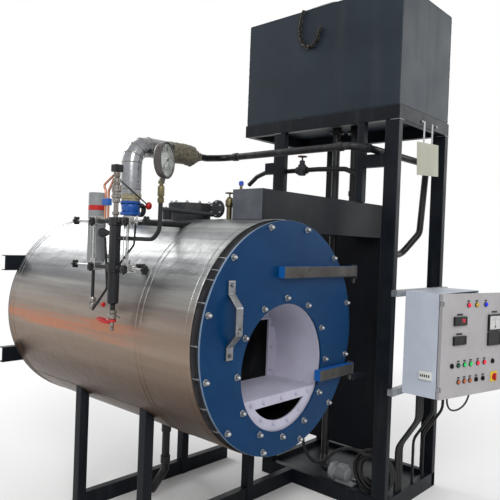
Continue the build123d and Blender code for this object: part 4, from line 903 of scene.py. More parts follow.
# %% Throat, fire opening and shelf
back_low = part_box("throat_back_plate")[0]
shelf_low, shelf_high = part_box("fire_shelf")
opening_half = 0.245
opening_top = throat_centre_z + 0.2
stud_inset = 0.032
ash_ring = 0.296
stud_margin = 0.04
ash_stud_drop = 0.024
dress_node("front_tube_plate", "tube_plate_ring", frame_paint, "frame_grey")
# The lining is painted black under the shelf and behind the ash frame: painted shade in the ash pit.
lining_painted_shade = sooty(lining_white, shelf_low.z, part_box("ash_frame")[0].y)
dress_node("throat_lining", "throat_tube", lining_painted_shade, "white_coating")
dress_node("throat_back_plate", "throat_end_plate", lining_painted_shade, "white_coating")
dress_node("fire_shelf", "throat_shelf", lining_painted_shade, "white_coating")
dress_node("ash_frame", "ash_door_frame", lining_white, "white_coating", 0.0015)
stud_places = []
for stud_z in (shelf_high.z + stud_margin, (shelf_high.z + opening_top) / 2, opening_top - stud_margin):
    for side in (-1, 1):
        stud_places.append(matrix_at((side * (opening_half + stud_inset), back_low.y, stud_z), forward))
for stud_x in (-0.16, 0, 0.16):
    stud_places.append(matrix_at((stud_x, back_low.y, opening_top + stud_inset), forward))
ash_low, ash_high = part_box("ash_frame")
ash_middle = (ash_low.x + ash_high.x) / 2
for stud_x in (-0.24, -0.14, 0, 0.13, 0.235):
    stud_places.append(matrix_at((ash_middle + stud_x, ash_low.y, ash_high.z - ash_stud_drop), forward))
for stud_turn in (-122, -101, -79, -58):
    stud_places.append(matrix_at((ash_ring * cos(radians(stud_turn)), ash_low.y,
                                  throat_centre_z + ash_ring * sin(radians(stud_turn))), forward))
repeated("lining_studs", plain_nut(0.019, 0.008, 0.006), stud_places, lining_white, "white_coating")

frame_bar = 0.012
frame_depth = 0.008
opening_frame = join("fire_opening_frame", [
    block((-opening_half - frame_bar, back_low.y - frame_depth, shelf_high.z),
          (-opening_half, back_low.y, opening_top), 0.002),
    block((opening_half, back_low.y - frame_depth, shelf_high.z),
          (opening_half + frame_bar, back_low.y, opening_top), 0.002),
    block((-opening_half - frame_bar, back_low.y - frame_depth, opening_top),
          (opening_half + frame_bar, back_low.y, opening_top + frame_bar), 0.002),
])
finish(opening_frame, "fire_opening_frame", "plant", lining_white, "white_coating")

rope_radius = 0.0022
rope_ring = 0.585
clear_selection()
bpy.ops.mesh.primitive_torus_add(major_radius=rope_ring, minor_radius=rope_radius, major_segments=96,
                                 minor_segments=8,
                                 location=(0, door_high.y + rope_radius + 0.0002, drum_axis_z),
                                 rotation=(pi / 2, 0, 0))
rope = bpy.context.object
edit(rope)
bpy.ops.mesh.subdivide(number_cuts=1, smoothness=0)
leave_edit()
finish(rope, "door_sealing_rope", "front_door", lagging_cloth, "white_coating")

# %% [markdown]
# Thin bright strips cross the gap between the tube plate and the cladding and hold the wool back. One strip
# is a web with a foot. It is copied round the left side, where the strips can be seen.

# %% Clips at the rim
ring_low, ring_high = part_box("front_tube_plate")
ring_radius = (ring_high.x - ring_low.x) / 2
clip_angles = (137.7, 144.5, 149.5, 160.3, 178.9, 193.2, 207.9, 222)
clip_half = 0.0014
edge_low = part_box("cladding_front")[0]


def rim_clip():
    """A thin strip across the gap, from the plate's rim out to the cladding's edge."""
    reach = drum_radius - 0.003 - ring_radius
    web = block((-clip_half, 0.004, 0.0005), (clip_half, edge_low.y - ring_low.y + 0.01, reach), 0.0004, 1)
    foot = block((-clip_half * 2.5, 0.001, -0.0002), (clip_half * 2.5, 0.018, 0.002), 0.0004, 1)
    return join("rim_clip", [web, foot])


print("rim gap", round(drum_radius - ring_radius, 4), "deep", round(edge_low.y - ring_low.y, 4))
clip_places = []
for clip_angle in clip_angles:
    turn = radians(clip_angle)
    seat = Vector((ring_radius * cos(turn), ring_low.y, drum_axis_z + ring_radius * sin(turn)))
    clip_places.append(Matrix.Translation(seat) @ Matrix.Rotation(pi / 2 - turn, 4, "Y"))
repeated("rim_clips", rim_clip(), clip_places, zinc, "bare_steel")

# %% [markdown]
# The cladding comes in two rolled courses of bright sheet. Each is one outline spun round the drum's axis,
# with its beads and hems drawn in the outline. The real sheet is stiffened by such beads, and they break up
# its shine.

# %% Cladding courses
sheet_t = 0.002
bead_height = 0.0024
bead_half = 0.0042
drum_sides = 144


def along_drum(piece):
    """Turns a piece from Z to the drum's axis."""
    piece.data.transform(Matrix.Translation((0, 0, drum_axis_z)) @ Matrix.Rotation(-pi / 2, 4, "X"))
    return piece


def course(node, beads, name):
    """A sheet ring with a rounded bead at each given place along the drum."""
    low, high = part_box(node)
    outer = (high.x - low.x) / 2
    outline = [(outer - sheet_t, low.y), (outer, low.y)]
    for bead_y in beads:
        for part, rise in ((-1, 0), (-0.6, 0.7), (0, 1), (0.6, 0.7), (1, 0)):
            outline.append((outer + rise * bead_height, bead_y + part * bead_half))
    outline += [(outer, high.y), (outer - sheet_t, high.y), (outer - sheet_t, low.y)]
    return finish(along_drum(turned(outline, drum_sides)), name, "plant", cladding_sheet, "cladding_sheet",
                  node)


front_low, front_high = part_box("cladding_front")
main_low, main_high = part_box("cladding_main")
seam_y = front_high.y
course("cladding_front", (front_low.y + 0.008, front_low.y + 0.046, seam_y - 0.008), "cladding_front_course")
course("cladding_main", (seam_y + 0.03, main_high.y - 0.06, main_high.y - 0.022), "cladding_main_course")

# %% [markdown]
# Blind rivets hold the courses at the seam and along the lap where the sheet's ends meet, low on the left.
# A band of the same sheet covers that lap. The rivets are few-sided domes, since there are so many of them.

# %% Rivets and lap seam
rivet_pitch = radians(9)
lap_angle = radians(-135.5)
lap_rivet_pitch = 0.06
lap_half_width = 0.016


def drum_place(angle, y, radius=drum_radius):
    """A place on the cladding, standing outwards."""
    out = Vector((cos(angle), 0, sin(angle)))
    return matrix_at(Vector((0, y, drum_axis_z)) + out * radius, out)


rivet_places = []
for ring_y in (seam_y + 0.012, main_high.y - 0.04):
    for number in range(round(tau / rivet_pitch)):
        rivet_places.append(drum_place(number * rivet_pitch, ring_y))
lap_y = main_low.y + 0.05
while lap_y < main_high.y - 0.08:
    rivet_places.append(drum_place(lap_angle, lap_y, drum_radius + 0.0012))
    lap_y += lap_rivet_pitch
repeated("cladding_rivets", rivet(0.0032, 0.0016), rivet_places, cladding_sheet, "cladding_sheet")

lap_band = block((-lap_half_width, main_low.y + 0.04, -0.001), (lap_half_width, main_high.y - 0.07, 0.0012),
                 0.0005, 1)
lap_out = Vector((cos(lap_angle), 0, sin(lap_angle)))
lap_band.data.transform(Matrix.Translation(Vector((0, 0, drum_axis_z)) + lap_out * drum_radius)
                        @ Matrix.Rotation(pi / 2 - lap_angle, 4, "Y"))
finish(lap_band, "cladding_lap_band", "plant", cladding_sheet, "cladding_sheet")

# %% [markdown]
# Mineral wool shows as a rough dark edge inside the front of the cladding. It is a spun ring whose front face
# is pushed in and out by a cloud pattern, so that it looks like a cut mat and not like a casting.

# %% Insulation
wool_low, wool_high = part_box("insulation")
wool_outer = (wool_high.x - wool_low.x) / 2
shell_low, shell_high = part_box("pressure_shell")
wool_inner = (shell_high.x - shell_low.x) / 2 + 0.001
wool_front = wool_low.y + 0.012
wool_rows = 6
wool_sides = 180
tuft_size, tuft_depth = 45, 0.009
strand_size, strand_depth = 130, 0.004


def wool_outline():
    """The closed outline of the mat: its front in several steps, then back to the rear."""
    step = (wool_outer - wool_inner) / wool_rows
    front = [(wool_inner + number * step, wool_front) for number in range(wool_rows + 1)]
    return front + [(wool_outer, wool_high.y), (wool_inner, wool_high.y), front[0]]


wool = along_drum(turned(wool_outline(), wool_sides))
for point in wool.data.vertices:
    if point.co.y < wool_front + 0.001:
        point.co.y += (tuft_depth * noise.noise(point.co * tuft_size)
                       - strand_depth * noise.noise(point.co * strand_size))
finish(wool, "insulation_mat", "plant", mineral_wool, "mineral_wool", "insulation")

# %% [markdown]
# The rear of the drum is a plain cover with two channels across it, bolted on. The nuts sit on the cover's
# rim.

# %% Rear cover and channels
cover_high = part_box("rear_cover")[1]
rear_bolt_radius = 0.59
rear_bolts = 16
channel_height = 0.305
channel_room = 0.07
dress_node("rear_cover", "rear_cover_disc", dark_iron, "dark_iron")
dress_node("rear_channels", "rear_cross_channels", frame_paint, "frame_grey", 0.0015)
rear_places = circle_places(rear_bolt_radius, drum_axis_z, cover_high.y, rear_bolts, pi / rear_bolts,
                            Vector(along_y))
channel_clear = [place for place in rear_places
                 if abs(abs(place.translation.z - drum_axis_z) - channel_height) > channel_room]
repeated("rear_cover_nuts", plain_nut(), channel_clear, bolt_steel, "bare_steel")


# %% [markdown]
# The steam riser is clad in sheet, and its bend is made of mitred segments like a lobster's tail. A circle is
# pushed up, then pushed and turned at each mitre by hand, and a raised seam goes round at every joint.

# %% Steam riser
riser_low, riser_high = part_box("steam_riser")
solid_radius = 0.0705
riser_radius = 0.064
riser_foot_z = 1.966
riser_x = riser_low.x + solid_radius
riser_y = (riser_low.y + riser_high.y) / 2
riser_top_z = riser_high.z - solid_radius
riser_bend = 0.114
riser_segments = 4
seam_half = 0.004
seam_rise = 0.0026
bend_z = riser_top_z - riser_bend


def mitred_bend():
    """The riser's centreline points: its foot, the start of each segment and its end."""
    points = [Vector((riser_x, riser_y, riser_foot_z)), Vector((riser_x, riser_y, bend_z))]
    for number in range(1, riser_segments + 1):
        turn = number * pi / 2 / riser_segments
        points.append(Vector((riser_x + riser_bend * (1 - cos(turn)), riser_y,
                              bend_z + riser_bend * sin(turn))))
    points.append(Vector((riser_high.x, riser_y, riser_top_z)))
    return points


def riser_tube(points):
    clear_selection()
    bpy.ops.mesh.primitive_circle_add(vertices=48, radius=riser_radius, location=points[0])
    bpy.ops.object.mode_set(mode="EDIT")
    leaned = 0
    for number, (here, there) in enumerate(zip(points, points[1:])):
        bpy.ops.mesh.extrude_region_move(TRANSFORM_OT_translate={"value": there - here})
        wanted = min(number, riser_segments) * pi / 2 / riser_segments
        if wanted > leaned:
            bpy.ops.transform.rotate(value=leaned - wanted, orient_axis="Y", center_override=there)
            leaned = wanted
    bpy.ops.mesh.select_all(action="SELECT")
    bpy.ops.mesh.fill_holes(sides=0)
    leave_edit()
    return tidy_mesh(bpy.context.object)


riser_points = mitred_bend()
riser_body = modifier(riser_tube(riser_points), "EDGE_SPLIT", split_angle=radians(12))
seam_ring = ((riser_radius - 0.001, -seam_half), (riser_radius + seam_rise, -seam_half * 0.5),
             (riser_radius + seam_rise, seam_half * 0.5), (riser_radius - 0.001, seam_half),
             (riser_radius - 0.001, -seam_half))
seams = []
for number in range(riser_segments + 1):
    lean = number * pi / 2 / riser_segments
    seams.append(lay(turned(seam_ring, 48), riser_points[number + 1], (sin(lean), 0, cos(lean))))
seams.append(lay(turned(seam_ring, 48), riser_points[0] + Vector((0, 0, 0.034))))
finish(riser_body, "riser_cladding", "plant", riser_sheet, "cladding_sheet", "steam_riser")
built("riser_seams", seams, fitting_steel, "cladding_sheet")

# %% [markdown]
# The lagging is cloth wound over wool, cream at the riser's foot and worn brown on the pipe. The outline
# has a low crest for each turn, and then every point moves a little with a noise, most at the ragged end.

# %% Lagging of the riser's foot and of the pipe
sleeve_radius = 0.0705
pipe_radius = 0.024
cuff_radius = 0.0665
sleeve_start = riser_high.x + 0.0005
lagging_low, lagging_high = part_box("pipe_lagging")
taper_start = sleeve_start + 0.2
cuff_top = riser_foot_z + 0.004
wrap_pitch = 0.022
wrap_rise = 0.0025
ragged_least = 0.4
ragged_from, ragged_over = 0.14, 0.1
end_taper = 0.8
droop_size = 21


def wrapped(start, end, radius_at):
    """The outline of cloth wound in turns from start to end along Z."""
    outline = [(0, start), (radius_at(start) * 0.93, start)]
    turns = ceil((end - start) / wrap_pitch)
    for number in range(turns * 4 + 1):
        height = start + (end - start) * number / (turns * 4)
        outline.append((radius_at(height) - wrap_rise * (number % 4) / 4, height))
    return outline + [(0, end)]


def sleeve_shape(height):
    """Full round, then a taper that hollows towards the bare pipe."""
    if height <= taper_start:
        return sleeve_radius
    part = (height - taper_start) / (lagging_high.x - taper_start)
    return sleeve_radius + (pipe_radius + 0.003 - sleeve_radius) * part ** end_taper


def ragged(piece, amount, size, droop=0):
    """Moves the points of a sleeve about Z in or out by a noise, most at its far end, and lets it droop."""
    top = max(point.co.z for point in piece.data.vertices)
    for point in piece.data.vertices:
        out = Vector((point.co.x, point.co.y, 0))
        if out.length > 0.001:
            part = max(0, min(1, (point.co.z - (top - ragged_from)) / ragged_over))
            share = ragged_least + (1 - ragged_least) * part
            point.co += out.normalized() * amount * share * (noise.noise(point.co * size) - 0.3)
            if point.co.x > 0:
                point.co.x += droop * share * max(0, noise.noise(point.co * droop_size)) * out.normalized().x
    return piece


cuff = ragged(turned(wrapped(0, cuff_top - lagging_low.z,
                             lambda height: cuff_radius - 0.005 * (height < 0.015)), 48), 0.007, 42)
lay(cuff, (riser_x, riser_y, lagging_low.z))
finish(cuff, "riser_cuff", "plant", lagging_cloth, "lagging_cloth")
sleeve = ragged(turned(wrapped(0, lagging_high.x - sleeve_start,
                               lambda height: sleeve_shape(height + sleeve_start)), 56), 0.012, 36, 0.02)
sleeve.data.transform(Matrix.Translation((sleeve_start, riser_y, riser_top_z))
                      @ Matrix.Rotation(pi / 2, 4, "Y"))
finish(sleeve, "wound_sleeve", "plant", lagging_worn, "lagging_cloth", "pipe_lagging")

# %% [markdown]
# The black pipes are true round pipes with swept bends. A circle is pushed along every straight run and spun
# round each bend. Threaded joints get a collar. The routes follow the solids' own corners.

# %% Steam pipe and its joints
cross_z = 2.3083
cross_y = -0.592
drop_x = 1.6
steam_turn_x = 0.65
steam_route = ((lagging_high.x - 0.02, riser_y, riser_top_z), (0.4716, riser_y, riser_top_z),
               (steam_turn_x, riser_y, cross_z), (steam_turn_x, cross_y, cross_z),
               (drop_x, cross_y, cross_z), (drop_x, -0.558, 1.805), (1.5223, -0.455, 1.641),
               (1.4073, -0.455, 1.641),)
steam_bend = 0.085


def collar(radius, length, place, direction):
    """A threaded collar round a pipe."""
    ring = turned(((radius * 0.96, 0), (radius * 1.22, 0.002), (radius * 1.22, length - 0.002),
                   (radius * 0.96, length), (radius * 0.96, 0)), 24)
    return lay(ring, Vector(place) - Vector(direction).normalized() * length / 2, direction)


steam_parts = [pipe(steam_route, pipe_radius, steam_bend)]
for place, direction in (((steam_turn_x, riser_y - 0.12, cross_z), forward),
                         ((steam_turn_x, cross_y + 0.12, cross_z), forward),
                         ((steam_turn_x + 0.12, cross_y, cross_z), along_x),
                         ((1.43, -0.455, 1.641), along_x)):
    steam_parts.append(collar(pipe_radius, 0.04, place, direction))
built("steam_main", steam_parts, pipe_black, "black_pipe", "steam_pipe")

# %% [markdown]
# The feed pipes are smaller. One comes forward from the pump side over the duct, two hang from the tank with
# bolted flanges, and the longer of these runs down to the pump.

# %% Feed pipes and tank outlets
tray_low, tray_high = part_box("tank_tray")
duct_low, duct_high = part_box("flue_duct")
feed_x = 0.95
feed_z = 2.225
feed_radius = 0.017
outlet_radius = 0.025
nozzle_radius = 0.032
flange_radius = 0.05
flange_t = 0.014
near_outlet = (1.106, -0.283)
far_outlet = (1.041, -0.176)
pump_x = 0.995
pump_z = 0.132
feed_rear = ((feed_x, 0.567, 2.14), (feed_x, 0.487, 2.199), (feed_x, 0.406, feed_z), (feed_x, 0.097, feed_z))
feed_front = ((feed_x, 0.007, feed_z), (feed_x, -0.087, feed_z), (feed_x, -0.315, 2.214),
              (feed_x, -0.434, 2.167), (feed_x, -0.456, 2.026), (feed_x, -0.456, duct_high.z))
suction = ((*far_outlet, tray_low.z - flange_t), (*far_outlet, pump_z + 0.07), (pump_x, -0.192, pump_z),
           (pump_x, -0.2735, pump_z))


def tank_flange(place):
    """A nozzle with its bolted flange, under the tank."""
    outline = ((0, 0), (flange_radius, 0), (flange_radius, flange_t), (nozzle_radius, flange_t + 0.002),
               (nozzle_radius, tray_high.z - tray_low.z + flange_t), (0, tray_high.z - tray_low.z + flange_t))
    body = lay(turned(outline), (*place, tray_low.z - flange_t))
    nuts = [matrix_at((place[0] + 0.039 * cos(turn), place[1] + 0.039 * sin(turn), tray_low.z - flange_t),
                      (0, 0, -1)) for turn in (0, pi / 2, pi, 3 * pi / 2)]
    return [body, copies("flange_nuts", plain_nut(0.014, 0.007, 0.004), nuts)]


feed_parts = [pipe(feed_rear, feed_radius, 0.06), pipe(feed_front, feed_radius, 0.06)]
feed_parts += tank_flange(near_outlet) + tank_flange(far_outlet)
feed_parts.append(pipe(((*near_outlet, duct_high.z), (*near_outlet, tray_low.z - flange_t)), outlet_radius,
                       0.05))
feed_parts.append(pipe(suction, outlet_radius, 0.045))
for place, direction, radius in (((feed_x, 0.3, feed_z), along_y, feed_radius),
                                 ((feed_x, -0.456, 2.01), upward, feed_radius),
                                 ((*near_outlet, 2.06), upward, outlet_radius),
                                 ((*near_outlet, 2.4), upward, outlet_radius),
                                 ((*far_outlet, 1.2), upward, outlet_radius),
                                 ((*far_outlet, 2.4), upward, outlet_radius)):
    feed_parts.append(collar(radius, 0.036, place, direction))
built("feed_water_pipes", feed_parts, pipe_black, "black_pipe", "feed_pipes")

# %% [markdown]
# The pump is a small motor pump: a finned motor barrel, a wider casing with its bolts, a terminal box on
# top and a foot on a base plate. The fins are one outline with many teeth, spun round the shaft.

# %% Feed pump
pump_low, pump_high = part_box("feed_pump")
pump_front_y = pump_low.y
casing_t = 0.034
motor_radius = 0.0515
casing_radius = 0.0615
fin_pitch = 0.008
motor_start = -0.414
motor_end = pump_high.y - casing_t


def motor_outline():
    """Alternating fins and grooves along the motor."""
    outline = [(0, 0), (motor_radius * 0.6, 0), (motor_radius * 0.82, 0.006)]
    count = int((motor_end - motor_start - 0.02) / fin_pitch)
    for number in range(count):
        start = 0.01 + number * fin_pitch
        outline += [(motor_radius * 0.84, start), (motor_radius, start + 0.001),
                    (motor_radius, start + 0.003), (motor_radius * 0.84, start + 0.004)]
    return outline + [(motor_radius * 0.9, motor_end - motor_start), (0, motor_end - motor_start)]


casing_outline = ((0, 0), (casing_radius - 0.004, 0), (casing_radius, 0.004),
                  (casing_radius, casing_t - 0.006), (casing_radius * 0.8, casing_t - 0.001), (0, casing_t))
pump_parts = [lay(turned(motor_outline(), 40), (pump_x, motor_start, pump_z), along_y),
              lay(turned(casing_outline, 40), (pump_x, motor_end, pump_z), along_y),
              block((pump_x - 0.058, pump_front_y, 0.062), (pump_x + 0.058, pump_high.y - 0.012, 0.073),
                    0.002), block((pump_x - 0.033, motor_start + 0.012, 0.07),
                                  (pump_x + 0.033, motor_end - 0.012, 0.1), 0.003),
              block((pump_x - 0.026, motor_start + 0.02, pump_z + 0.04),
                    (pump_x + 0.026, motor_end - 0.025, 0.193), 0.004)]
casing_bolts = circle_places(0.052, pump_z, motor_end, 6, 0.3)
for place in casing_bolts:
    place.translation.x += pump_x
pump_parts.append(copies("pump_bolts", plain_nut(0.01, 0.005, 0.002), casing_bolts))
built("motor_pump", pump_parts, pump_paint, "pump_grey", "feed_pump")


# %% [markdown]
# Valves on the drum's top are castings with round flanges, so their bodies come off the lathe too. The blue
# stop valve carries the riser, its lever is a thin black rod with a red knob. Flange bolts are copied round
# a circle.

# %% Stop valve under the riser
def around(place, direction, radius, count, first=0):
    """Places on a circle round a point, standing along the direction."""
    return [matrix_at(place, direction) @ Matrix.Rotation(first + number * tau / count, 4, "Z")
            @ Matrix.Translation((radius, 0, 0)) for number in range(count)]


def bolts(across, radius, count, place, direction=upward, first=0):
    return copies("bolts", plain_nut(across, across * 0.45, across * 0.35),
                  around(place, direction, radius, count, first))


stop_x, stop_y = riser_x, riser_y
side_z = 1.872
stop_outline = ((0, 1.775), (0.04, 1.775), (0.04, 1.832), (0.062, 1.834), (0.065, 1.838), (0.065, 1.849),
                (0.05, 1.853), (0.056, 1.87), (0.058, 1.885), (0.056, 1.9), (0.05, 1.907), (0.065, 1.91),
                (0.065, 1.92), (0.06, 1.923), (0, 1.923))
side_outline = ((0.021, 0), (0.043, 0), (0.045, 0.003), (0.045, 0.019), (0.043, 0.022), (0.023, 0.022),
                (0.021, 0.019), (0.021, 0))
built("stop_valve", [lay(turned(stop_outline), (stop_x, stop_y, 0))]
      + [bolts(0.016, 0.056, 6, (stop_x, stop_y, height), direction) for height, direction in
         ((1.908, (0, 0, -1)), (1.85, upward))], valve_paint, "valve_blue", "boiler_valves")
built("stop_valve_side", [lay(turned(side_outline), (-0.107, stop_y, side_z), along_x)], dark_iron,
      "dark_iron")
lever_high, lever_low = (-0.326, 0.465, 2.04), (-0.1, 0.465, 1.898)
knob_outline = [(0.021 * sin(step * pi / 8), -0.021 * cos(step * pi / 8) * 1.2) for step in range(9)]
built("stop_valve_lever", [pipe((lever_high, lever_low), 0.0042, 0.01, 10),
                           pipe((lever_low, (-0.11, 0.505, 1.893), (-0.13, 0.52, 1.893)), 0.006, 0.01, 10)],
      plastic_black, "dark_iron")
built("stop_valve_knob", [lay(turned(knob_outline, 24), lever_low, upward)], plastic_red, "valve_blue")

# %% [markdown]
# The other valves on top: a small one on the feed pipe, with a brown handle, and a vent valve on the drum
# with a hand wheel, a side branch and a blue cap. Each is a lathe body with a wheel modelled once above.

# %% Feed valve, vent valve and drum studs
feed_valve_y = 0.052
feed_body = ((0, 2.188), (0.024, 2.188), (0.03, 2.194), (0.03, 2.262), (0.02, 2.27), (0.02, 2.293),
             (0.012, 2.297), (0.006, 2.3), (0.006, 2.33), (0, 2.33))
built("feed_valve", [lay(turned(feed_body, 24), (feed_x, feed_valve_y, 0)),
                     collar(feed_radius * 1.3, 0.03, (feed_x, 0.083, feed_z), along_y),
                     collar(feed_radius * 1.3, 0.03, (feed_x, 0.021, feed_z), along_y)], dark_iron,
      "dark_iron")
built("feed_valve_wheel", [lay(hand_wheel(0.035), (feed_x, feed_valve_y, 2.325))], rusty, "rusty_steel")
vent_y = -0.157
vent_body = ((0, 1.79), (0.016, 1.79), (0.016, 1.886), (0.024, 1.895), (0.024, 1.925), (0.017, 1.94),
             (0.012, 1.945), (0.005, 1.947), (0.005, 1.975), (0, 1.976))
built("vent_valve", [lay(turned(vent_body, 24), (0, vent_y, 0)),
                     pipe(((0, vent_y, 1.918), (0, -0.245, 1.918), (0, -0.245, 2.012)), 0.0085, 0.02, 14),
                     bolts(0.014, 0.0001, 1, (0, vent_y, 1.926))], brass, "gauge_steel")
built("vent_valve_wheel", [lay(hand_wheel(0.028, 0.0032), (0, vent_y, 1.969))], rusty, "rusty_steel")
built("vent_cap", [lay(turned(((0, 0), (0.014, 0), (0.014, 0.02), (0.009, 0.025), (0, 0.025)), 20),
                       (0, -0.245, 2.01))], plastic_blue, "valve_blue")

# %% [markdown]
# The manhole has a heavy bolted cover on a short neck. Its blank disc on edge and the vent pipe stand in
# front.

# %% Manhole
manhole_y = 0.171
neck_top, cover_top = 1.875, 1.913
cover_outline = ((0, 1.78), (0.12, 1.78), (0.12, neck_top - 0.012), (0.14, neck_top - 0.01),
                 (0.142, neck_top - 0.008), (0.142, neck_top + 0.008), (0.139, neck_top + 0.01),
                 (0.139, cover_top - 0.004), (0.135, cover_top), (0.1, cover_top),
                 (0.096, cover_top - 0.006), (0, cover_top - 0.006))
pad_outline = ((0, 1.78), (0.05, 1.78), (0.05, 1.881), (0.046, 1.885), (0, 1.885))
blank_outline = ((0, -0.012), (0.03, -0.012), (0.05, -0.01), (0.052, -0.007), (0.052, 0.007), (0.05, 0.01),
                 (0, 0.012))
built("manhole_cover", [lay(turned(cover_outline, 48), (0, manhole_y, 0)),
                        lay(turned(pad_outline), (0, 0.368, 0)),
                        lay(turned(blank_outline), (0, -0.06, 1.879), along_x),
                        pipe(((0, 0.1, 1.845), (0, -0.047, 1.845), (-0.295, 0.11, 1.862)), 0.012, 0.01,
                             14)], dark_iron, "dark_iron", "manhole")
built("manhole_nuts", [bolts(0.022, 0.122, 10, (0, manhole_y, cover_top - 0.004)),
                       bolts(0.016, 0.038, 4, (0, 0.368, 1.884)),
                       bolts(0.014, 0.04, 6, (-0.01, -0.06, 1.879), (-1, 0, 0))], bolt_steel, "bare_steel")

# %% [markdown]
# The level column is a capped upright pipe, joined to the drum by two links and to the gauges by short
# arms. Its drain has a bright steel cock with a red oval lever. The lever is a torus stretched by hand.

# %% Level column and its drains
column_x, column_y = -0.7, -0.047
gauge_ys = (0.121, -0.169)
arm_heights = (1.538, 1.772)
column_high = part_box("level_column")[1]
column_outline = ((0, 1.322), (0.012, 1.322), (0.013, 1.35), (0.024, 1.355), (0.0285, 1.36), (0.0285, 1.51),
                  (0.034, 1.514), (0.034, 1.562), (0.0285, 1.566), (0.0285, 1.745), (0.034, 1.749),
                  (0.034, 1.788), (0, 1.79))
column_parts = [lay(turned(column_outline, 32), (column_x, column_y, 0))]
for height in arm_heights:
    column_parts.append(pipe(((column_x, gauge_ys[0] - 0.03, height), (column_x, gauge_ys[1] + 0.03, height)),
                             0.0125, 0.01, 16))
    column_parts.append(pipe(((column_x, column_y, height), (column_high.x, column_y, height)), 0.016, 0.01,
                             20))
    for y in (column_y + 0.045, column_y - 0.045):
        column_parts.append(collar(0.0145, 0.03, (column_x, y, height), along_y))
built("level_standpipe", column_parts, pipe_black, "black_pipe", "level_column")
cock_outline = ((0, 1.216), (0.0075, 1.216), (0.0095, 1.22), (0.0095, 1.272), (0.016, 1.275), (0.0215, 1.281),
                (0.0215, 1.3), (0.0175, 1.305), (0.0215, 1.308), (0.0215, 1.322), (0, 1.324))
left_drain_outline = ((0, 1.3), (0.008, 1.3), (0.01, 1.313), (0.017, 1.315), (0.0175, 1.335), (0.0145, 1.34),
                      (0.0175, 1.345), (0.0175, 1.366), (0.013, 1.373), (0, 1.374))
left_drain_y = 0.137
built("column_drain_cocks", [lay(turned(cock_outline, 24), (column_x, column_y, 0)),
                             lay(turned(left_drain_outline, 24), (column_x, left_drain_y, 0)),
                             lay(rod(0.006, 0.09, 0.001, 12), (column_x, left_drain_y - 0.012, 1.342),
                                 forward),
                             pipe(((column_x, column_y, 1.29), (column_x, column_y - 0.06, 1.292)), 0.005,
                                  0.01, 10)], fitting_steel, "gauge_steel")
built("left_drain_tube",
      [pipe(((column_x, left_drain_y, 1.372), (column_x, left_drain_y, 1.516)), 0.0085, 0.01, 14)],
      plastic_black, "black_pipe")
clear_selection()
bpy.ops.mesh.primitive_torus_add(major_radius=0.0185, minor_radius=0.0072, major_segments=32,
                                 minor_segments=10, location=(column_x, 0.027, 1.262),
                                 rotation=(radians(7), 0, 0))
bpy.ops.transform.resize(value=(1, 2.4, 1))
built("column_drain_lever", [bpy.context.object,
                             lay(turned(((0, 0), (0.019, 0), (0.021, 0.004), (0.019, 0.014), (0, 0.016)), 20),
                                 (column_x, column_y, 1.262)),
                             lay(rod(0.013, 0.016, 0.004, 16), (column_x, 0.045, 1.342), forward)],
      plastic_red, "gauge_steel")

# %% [markdown]
# Each level gauge is a glass tube between two steel blocks, with a packing nut at either end and two thin
# guard rods. Black star wheels shut its cocks. The glass is a tube with a real bore, so that it refracts as
# one.

# %% Level gauges
block_half = Vector((0.025, 0.03, 0.0225))
glass_x = -0.712
star_radius = 0.0245
star_lobes = 6
star_depth = 0.13
wheel_reaches = (0.195, 0.129)
nut_start, stem_start = 0.03, 0.045
guard_side, guard_back, guard_inset = 0.014, 0.012, 0.02
glass_bore, glass_outer, glass_length, glass_rise = 0.0055, 0.008, 0.185, 0.025


def star_wheel():
    """A black knob with six lobes about Z: the odd points of its rim are pulled in by hand."""
    knob = turned(((0, 0), (0.017, 0), (star_radius, 0.003), (star_radius, 0.011), (0.017, 0.014),
                   (0.008, 0.014), (0.007, 0.017), (0, 0.017)), 24)
    for point in knob.data.vertices:
        turn = atan2(point.co.y, point.co.x)
        pull = 1 - star_depth + star_depth * cos(star_lobes * turn)
        point.co.x *= pull
        point.co.y *= pull
    return knob


gauge_parts, glasses, knobs = [], [], []
for gauge_y, outward, reach in zip(gauge_ys, (1, -1), wheel_reaches):
    wheel_y = gauge_y + outward * reach
    toward_wheel = (0, outward, 0)
    for height in arm_heights:
        middle = Vector((column_x, gauge_y, height))
        toward_glass = 1 if height < 1.6 else -1
        gauge_parts.append(block(middle - block_half, middle + block_half, 0.004, 2))
        gauge_parts.append(lay(hexagon(0.03, 0.02), middle + Vector((0, outward * nut_start, 0)),
                               toward_wheel))
        stem_length = abs(wheel_y - gauge_y) - stem_start
        gauge_parts.append(lay(rod(0.006, stem_length, 0.001, 14),
                               middle + Vector((0, outward * stem_start, 0)), toward_wheel))
        gauge_parts.append(lay(hexagon(0.034, 0.018), (glass_x, gauge_y, height + toward_glass * 0.0225),
                               (0, 0, toward_glass)))
        knobs.append(matrix_at((column_x, wheel_y - outward * 0.008, height), toward_wheel))
        knobs.append(matrix_at((column_x - 0.025, gauge_y, height - 0.006), (-1, 0, 0), 0.3))
    for side in (-1, 1):
        guard_x, guard_y = glass_x - guard_back, gauge_y + side * guard_side
        gauge_parts.append(pipe(((guard_x, guard_y, arm_heights[0] + guard_inset),
                                 (guard_x, guard_y, arm_heights[1] - guard_inset)), 0.002, 0.01, 8))
    tube = turned(((glass_bore, 0), (glass_outer, 0), (glass_outer, glass_length), (glass_bore, glass_length),
                   (glass_bore, 0)), 24)
    glasses.append(lay(tube, (glass_x, gauge_y, arm_heights[0] + glass_rise)))
built("level_gauge_blocks", gauge_parts, gauge_steel, "gauge_steel", "level_gauges")
built("level_gauge_glasses", glasses, glass, "gauge_steel")
repeated("gauge_wheels", star_wheel(), knobs, plastic_black, "black_plastic")
